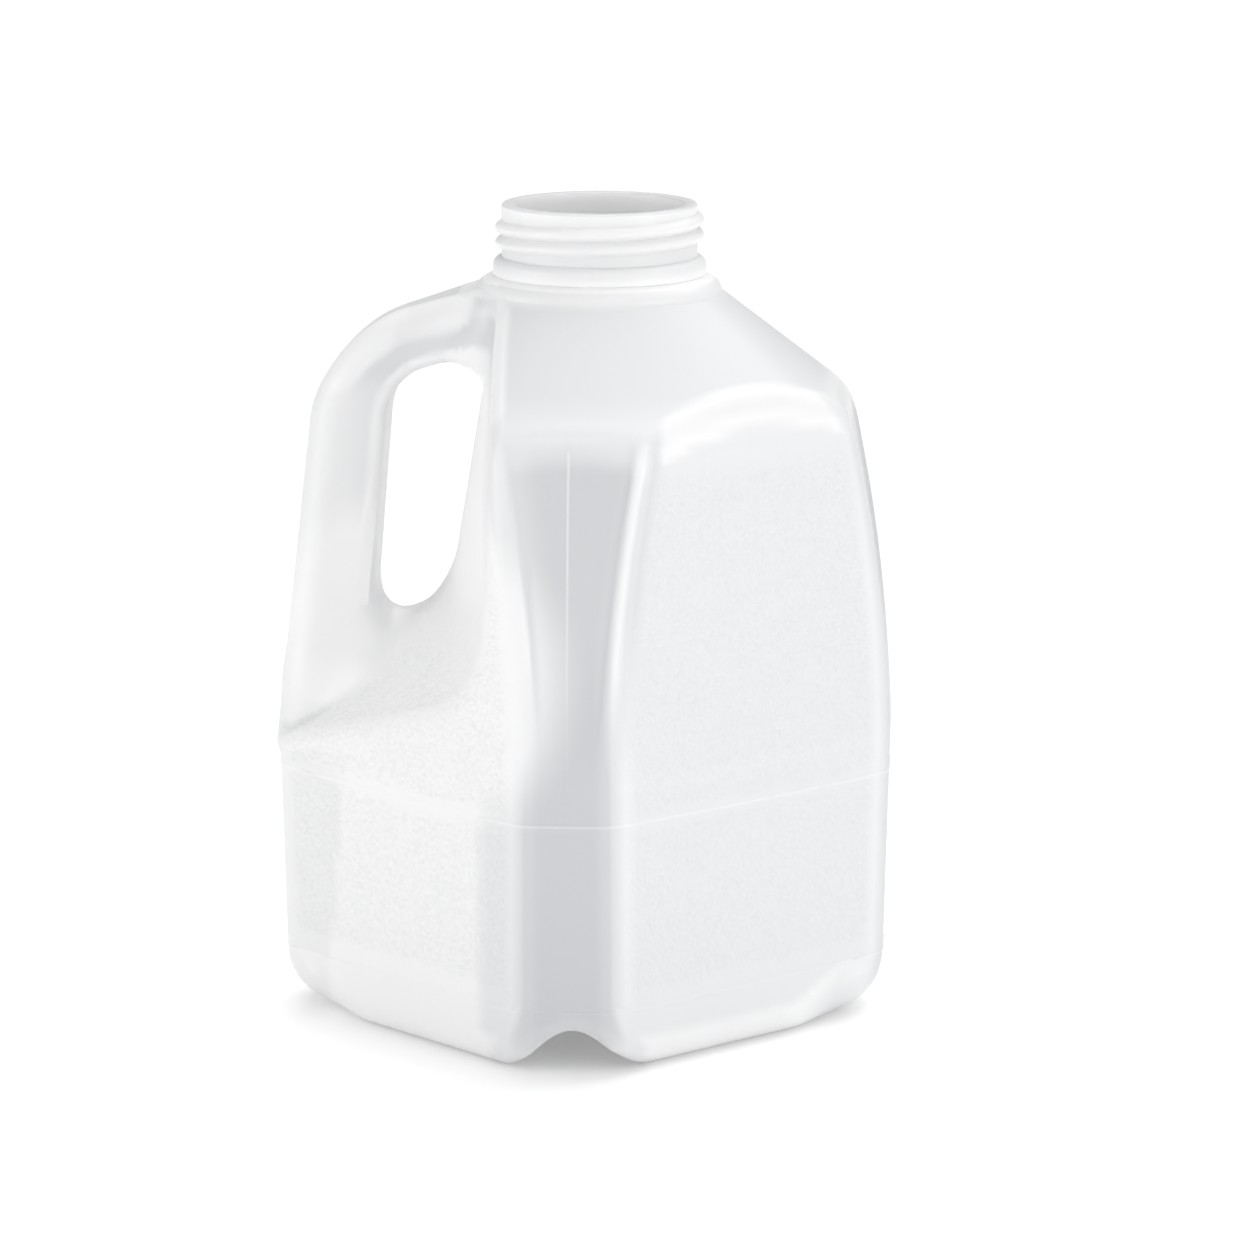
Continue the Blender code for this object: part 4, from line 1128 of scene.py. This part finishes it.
class PlasticFinish(bpy.types.PropertyGroup):
    """The look of the milky plastic."""

    colour: colour_setting("Colour", "Colour of the plastic in thick places", (0.81, 0.815, 0.825))
    thin_colour: colour_setting(
        "Thin colour", "Colour where the plastic is a little thinner", (0.795, 0.8, 0.81))
    # The panel, ridge and groove colours are painted shade and painted highlight, not the plastic's own
    # colour.
    panel_shade_colour: colour_setting("Panel colour", "Colour of the smooth corner panels", (0.6, 0.61, 0.63))
    ridge_highlight_colour: colour_setting(
        "Ridge colour", "Colour along ridges and outer corners", (0.99, 0.99, 0.995))
    groove_shade_colour: colour_setting(
        "Groove colour", "Colour in grooves and inner corners", (0.7, 0.71, 0.725))
    smooth_roughness: share_setting(
        "Smooth roughness", "Roughness where the mould was polished", 0.5)
    grain_roughness: share_setting("Grain roughness", "Roughness where the grain shows", 0.6)
    grain_size: size_setting(
        "Grain size", "Distance between bumps of the mould's grain", 0.0008, 0.0003, 0.003)
    grain_depth: size_setting("Grain depth", "Height of the mould's grain", 0.0002, 0.0, 0.0003)
    gloss: share_setting("Gloss", "Strength of the smooth skin's reflections", 0.35)
    clearness: share_setting("Clearness", "Share of light that passes through the plastic", 0.1)
    milkiness: share_setting("Milkiness", "Share of light that spreads inside the plastic", 0.18)
    neck_milkiness: share_setting("Neck milkiness", "Share of light that spreads inside the neck", 0.9)


class StudioLook(bpy.types.PropertyGroup):
    """The floor and the light."""

    floor_size: size_setting("Floor size", "Side of the square floor", 12.0, 1.0, 100.0)
    floor_colour: colour_setting("Floor colour", "Colour of the pale floor", (0.93, 0.93, 0.93))
    floor_glow: strength_setting("Floor glow", "Light that the floor itself gives off", 0.145)
    room_light: strength_setting("Room light", "Strength of the even light all round", 0.39)
    side_light: strength_setting("Side light", "Power of each side softbox in watts", 2.15)
    front_light: strength_setting("Front light", "Power of the front softbox in watts", 1.8)
    top_light: strength_setting("Top light", "Strength of the wide light overhead", 1.9)


class MakeShell(bpy.types.Operator):
    """Model the jug's shell: body, handle, mould lines, neck and inner wall"""

    bl_idname = "jug.make_shell"
    bl_label = "Jug shell"

    def execute(self, context):
        """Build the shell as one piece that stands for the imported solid."""
        sizes = context.scene.jug_shell
        bm, column_layer, row_layer = make_guide_mesh()
        add_handle(bm, column_layer, row_layer)
        layer = bm.verts.layers.int.new("skin")
        settle(skin_verts(bm, layer, OUTER_SKIN))
        for _ in range(INNER_SUBDIVISIONS):
            subdivide_skin(bm, layer)
        add_inner_skin(bm, layer, wall_thickness())
        for _ in range(OUTER_EXTRA_SUBDIVISIONS):
            subdivide_skin(bm, layer)
        match_inner_ring(bm, layer, OUTER_EXTRA_SUBDIVISIONS)
        line_height = sizes.line_height / METRES_PER_DRAWN_MM
        half_width = sizes.line_width / METRES_PER_DRAWN_MM / 2.0
        add_mould_lines(bm, layer, line_height, half_width)
        build_neck(bm, layer)
        bmesh.ops.recalc_face_normals(bm, faces=bm.faces)
        bmesh.ops.scale(bm, vec=(METRES_PER_DRAWN_MM,) * 3, verts=bm.verts)
        mesh = bpy.data.meshes.new("jug_shell")
        bm.to_mesh(mesh)
        bm.free()
        for name in ("column", "row", "skin"):
            mesh.attributes.remove(mesh.attributes[name])
        mesh.shade_smooth()
        mesh.set_sharp_from_angle(angle=SHARP_ANGLE)
        paint_skin(mesh)
        piece = keep_object("jug_shell", mesh)
        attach(piece, "root")
        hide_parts("jug")
        return {"FINISHED"}


class FinishPlastic(bpy.types.Operator):
    """Give the shell its milky plastic with a leathery grain on its faces"""

    bl_idname = "jug.finish_plastic"
    bl_label = "Milky plastic"

    def execute(self, context):
        """Build the plastic and put it on the shell."""
        shell = bpy.data.objects.get("jug_shell")
        if shell is None:
            raise RuntimeError("Make the jug shell before its plastic")
        shell.data.materials.clear()
        shell.data.materials.append(milky_plastic(context.scene.jug_plastic))
        return {"FINISHED"}


class MakeStudio(bpy.types.Operator):
    """Lay a pale floor, set soft lights round the jug and aim the camera"""

    bl_idname = "jug.make_studio"
    bl_label = "Studio"

    def execute(self, context):
        """Build the floor, the lights, the room and the camera."""
        look = context.scene.jug_studio
        lay_floor(look)
        light_room(look.room_light)
        middle = Vector((0.0, 0.0, RIM_Z / 2.0)) * METRES_PER_DRAWN_MM
        for name, direction in SIDE_LIGHTS:
            hang_softbox(name, middle + Vector(direction), middle, SIDE_LIGHT_SIZE, look.side_light)
        front = middle + Vector(FRONT_LIGHT)
        hang_softbox("front_softbox", front, middle, FRONT_LIGHT_SIZE, look.front_light)
        light_overhead(look.top_light)
        aim_camera()
        return {"FINISHED"}


def set_inputs(node, values):
    """Set a node's inputs by their names."""
    for name, value in values.items():
        node.inputs[name].default_value = value


def new_node(tree, kind, values=None, **settings):
    """Add a shader node with its settings and the values of its inputs."""
    node = tree.nodes.new(kind)
    for name, value in settings.items():
        setattr(node, name, value)
    set_inputs(node, values or {})
    return node


def painted(tree, layer):
    """The number that is painted on the skin under this name."""
    return new_node(tree, "ShaderNodeAttribute", attribute_name=layer).outputs["Fac"]


def mix(tree, kind, share, first, second):
    """Go from the first to the second as the share goes from 0 to 1; each is a socket or a value."""
    node = new_node(tree, "ShaderNodeMix", data_type=kind)
    tree.links.new(share, node.inputs["Factor"])
    for name, given in (("A", first), ("B", second)):
        if isinstance(given, bpy.types.NodeSocket):
            tree.links.new(given, node.inputs[name])
        else:
            node.inputs[name].default_value = given
    return node.outputs["Result"]


def noise(tree, place_at, scale, detail):
    """Soft noise in the plastic."""
    values = {"Scale": scale, "Detail": detail}
    node = new_node(tree, "ShaderNodeTexNoise", values, noise_dimensions="3D")
    tree.links.new(place_at, node.inputs["Vector"])
    return node.outputs["Fac"]


def combine(tree, operation, first, second):
    """Add or multiply two sockets."""
    node = new_node(tree, "ShaderNodeMath", operation=operation)
    tree.links.new(first, node.inputs[0])
    tree.links.new(second, node.inputs[1])
    return node.outputs["Value"]


def ramp(tree, value, start, end, top=1.0):
    """Go from 0 to the top as a value goes from the start to the end."""
    node = new_node(tree, "ShaderNodeMapRange", {"From Min": start, "From Max": end, "To Max": top})
    tree.links.new(value, node.inputs["Value"])
    return node.outputs["Result"]


def bump(tree, height, depth):
    """A bump node that raises the skin by a height, to this depth."""
    node = new_node(tree, "ShaderNodeBump", {"Distance": depth})
    tree.links.new(height, node.inputs["Height"])
    return node


def milky_plastic(finish):
    """Unpigmented plastic: cloudy, satin where the mould was polished, grained on the faces, with painted
    highlights on ridges and painted shade in grooves, grain pits and on the corner panels.
    """
    material = bpy.data.materials.new("milky_plastic")
    material.use_nodes = True
    tree = material.node_tree
    link = tree.links.new
    shader = tree.nodes["Principled BSDF"]
    set_inputs(shader, {
        "IOR": PLASTIC_IOR,
        "Subsurface Radius": MILK_SPREAD,
        "Transmission Weight": finish.clearness,
        "Coat Weight": finish.gloss,
        "Coat Roughness": GLOSS_ROUGHNESS,
    })
    place_at = new_node(tree, "ShaderNodeTexCoord").outputs["Object"]
    grain_mask = painted(tree, GRAIN_LAYER)

    cell_values = {"Scale": 1.0 / finish.grain_size, "Smoothness": GRAIN_SMOOTHNESS}
    cells = new_node(tree, "ShaderNodeTexVoronoi", cell_values, feature="SMOOTH_F1")
    link(place_at, cells.inputs["Vector"])
    ripple = noise(tree, place_at, GRAIN_RIPPLE / finish.grain_size, GRAIN_RIPPLE_DETAIL)
    leather = combine(tree, "ADD", cells.outputs["Distance"], ripple)
    grain = combine(tree, "MULTIPLY", leather, grain_mask)

    clouds = noise(tree, place_at, CLOUD_SCALE, CLOUD_DETAIL)
    colour = mix(tree, "RGBA", clouds, (*finish.thin_colour, 1.0), (*finish.colour, 1.0))
    # Painted shade on the panels, painted highlight on ridges and painted shade in grooves.
    for layer, full, target in (
            (PANEL_SHADE_LAYER, 1.0, finish.panel_shade_colour), (LIGHT_AND_SHADE_LAYER, 1.0, finish.ridge_highlight_colour),
            (LIGHT_AND_SHADE_LAYER, -1.0, finish.groove_shade_colour)):
        share = ramp(tree, painted(tree, layer), 0.0, full)
        colour = mix(tree, "RGBA", share, colour, (*target, 1.0))
    # Painted shade in the grain's pits.
    pit_shade = ramp(tree, grain, GRAIN_PIT_START, GRAIN_PIT_END, GRAIN_PIT_SHADE)
    link(mix(tree, "RGBA", pit_shade, colour, (*finish.groove_shade_colour, 1.0)), shader.inputs["Base Color"])

    for socket, layer, low, high in (
            ("Subsurface Weight", NECK_LAYER, finish.milkiness, finish.neck_milkiness),
            ("Subsurface Scale", NECK_LAYER, MILK_SCALE, NECK_MILK_SCALE),
            ("Roughness", GRAIN_LAYER, finish.smooth_roughness, finish.grain_roughness)):
        link(mix(tree, "FLOAT", painted(tree, layer), low, high), shader.inputs[socket])

    grain_bump = bump(tree, grain, finish.grain_depth)
    wave_bump = bump(tree, noise(tree, place_at, WAVE_SCALE, WAVE_DETAIL), WAVE_DEPTH)
    link(grain_bump.outputs["Normal"], wave_bump.inputs["Normal"])
    link(wave_bump.outputs["Normal"], shader.inputs["Normal"])
    return material


def lay_floor(look):
    """A plain pale floor, lit a little from within."""
    bm = bmesh.new()
    bmesh.ops.create_grid(bm, x_segments=1, y_segments=1, size=look.floor_size / 2.0)
    mesh = bpy.data.meshes.new("floor")
    bm.to_mesh(mesh)
    bm.free()
    material = bpy.data.materials.new("pale_floor")
    material.use_nodes = True
    shader = material.node_tree.nodes["Principled BSDF"]
    set_inputs(shader, {
        "Base Color": (*look.floor_colour, 1.0),
        "Roughness": 1.0,
        "Specular IOR Level": 0.0,
        "Emission Color": WHITE,
        "Emission Strength": look.floor_glow,
    })
    mesh.materials.append(material)
    floor = keep_object("floor", mesh)


def light_room(strength):
    """Even white light from all round, shown with plain colours."""
    bpy.context.scene.view_settings.view_transform = "Standard"
    world = bpy.data.worlds.new("room")
    world.use_nodes = True
    background = world.node_tree.nodes["Background"]
    set_inputs(background, {"Color": WHITE, "Strength": strength})
    bpy.context.scene.world = world


def hang_softbox(name, at, target, size, power):
    """A square area light that faces the target."""
    light = bpy.data.lights.new(name, "AREA")
    light.shape = "SQUARE"
    light.size = size
    light.energy = power
    holder = keep_object(name, light)
    holder.location = at
    holder.rotation_mode = "QUATERNION"
    holder.rotation_quaternion = (target - at).to_track_quat("-Z", "Y")


def light_overhead(strength):
    """A very wide light above and a little behind, even over the whole floor."""
    light = bpy.data.lights.new("overhead", "SUN")
    light.energy = strength
    light.angle = TOP_LIGHT_SPREAD
    holder = keep_object("overhead", light)
    holder.rotation_euler = (TOP_LIGHT_TILT, TOP_LIGHT_TURN, 0.0)


def aim_camera():
    """Stand the camera where the photo was taken from."""
    right = Vector((math.cos(CAMERA_TURN), math.sin(CAMERA_TURN), 0.0))
    level = Vector((-math.sin(CAMERA_TURN), math.cos(CAMERA_TURN), 0.0))
    forward = level * math.cos(CAMERA_TILT) - Vector((0.0, 0.0, 1.0)) * math.sin(CAMERA_TILT)
    at = Vector((NECK_X, 0.0, CAMERA_HEIGHT)) + right * CAMERA_SIDESTEP - level * CAMERA_DISTANCE
    camera = bpy.data.cameras.new("camera")
    camera.lens = CAMERA_LENS
    camera.sensor_width = CAMERA_SENSOR
    camera.clip_start = CAMERA_NEAREST_M
    holder = keep_object("camera", camera)
    turn = Matrix((right, right.cross(forward), -forward)).transposed()
    holder.matrix_world = Matrix.Translation(at * METRES_PER_DRAWN_MM) @ turn.to_4x4()
    bpy.context.scene.camera = holder


OPERATORS = (MakeShell, FinishPlastic, MakeStudio)


class JugPanel(bpy.types.Panel):
    """Lists the jug's steps and sizes in the sidebar"""

    bl_idname = "VIEW3D_PT_milky_jug"
    bl_label = "Milky jug"
    bl_space_type = "VIEW_3D"
    bl_region_type = "UI"
    bl_category = "Jug"

    def draw(self, context):
        """Show each step's button, then the sizes."""
        for operator in OPERATORS:
            self.layout.operator(operator.bl_idname)
        for name in SETTINGS:
            group = getattr(context.scene, name)
            box = self.layout.box()
            for field in group.__annotations__:
                box.prop(group, field)


SETTINGS = {"jug_shell": ShellSizes, "jug_plastic": PlasticFinish, "jug_studio": StudioLook}


def register():
    """Make the settings, operators and panel known to Blender."""
    for name, group in SETTINGS.items():
        bpy.utils.register_class(group)
        setattr(bpy.types.Scene, name, bpy.props.PointerProperty(type=group))
    for operator in OPERATORS:
        bpy.utils.register_class(operator)
    bpy.utils.register_class(JugPanel)


def unregister():
    """Undo register()."""
    bpy.utils.unregister_class(JugPanel)
    for operator in reversed(OPERATORS):
        bpy.utils.unregister_class(operator)
    for name, group in SETTINGS.items():
        delattr(bpy.types.Scene, name)
        bpy.utils.unregister_class(group)


def main():
    """Build the jug and its studio."""
    register()
    bpy.ops.jug.make_shell()
    bpy.ops.jug.finish_plastic()
    bpy.ops.jug.make_studio()


if __name__ == "__main__":
    main()
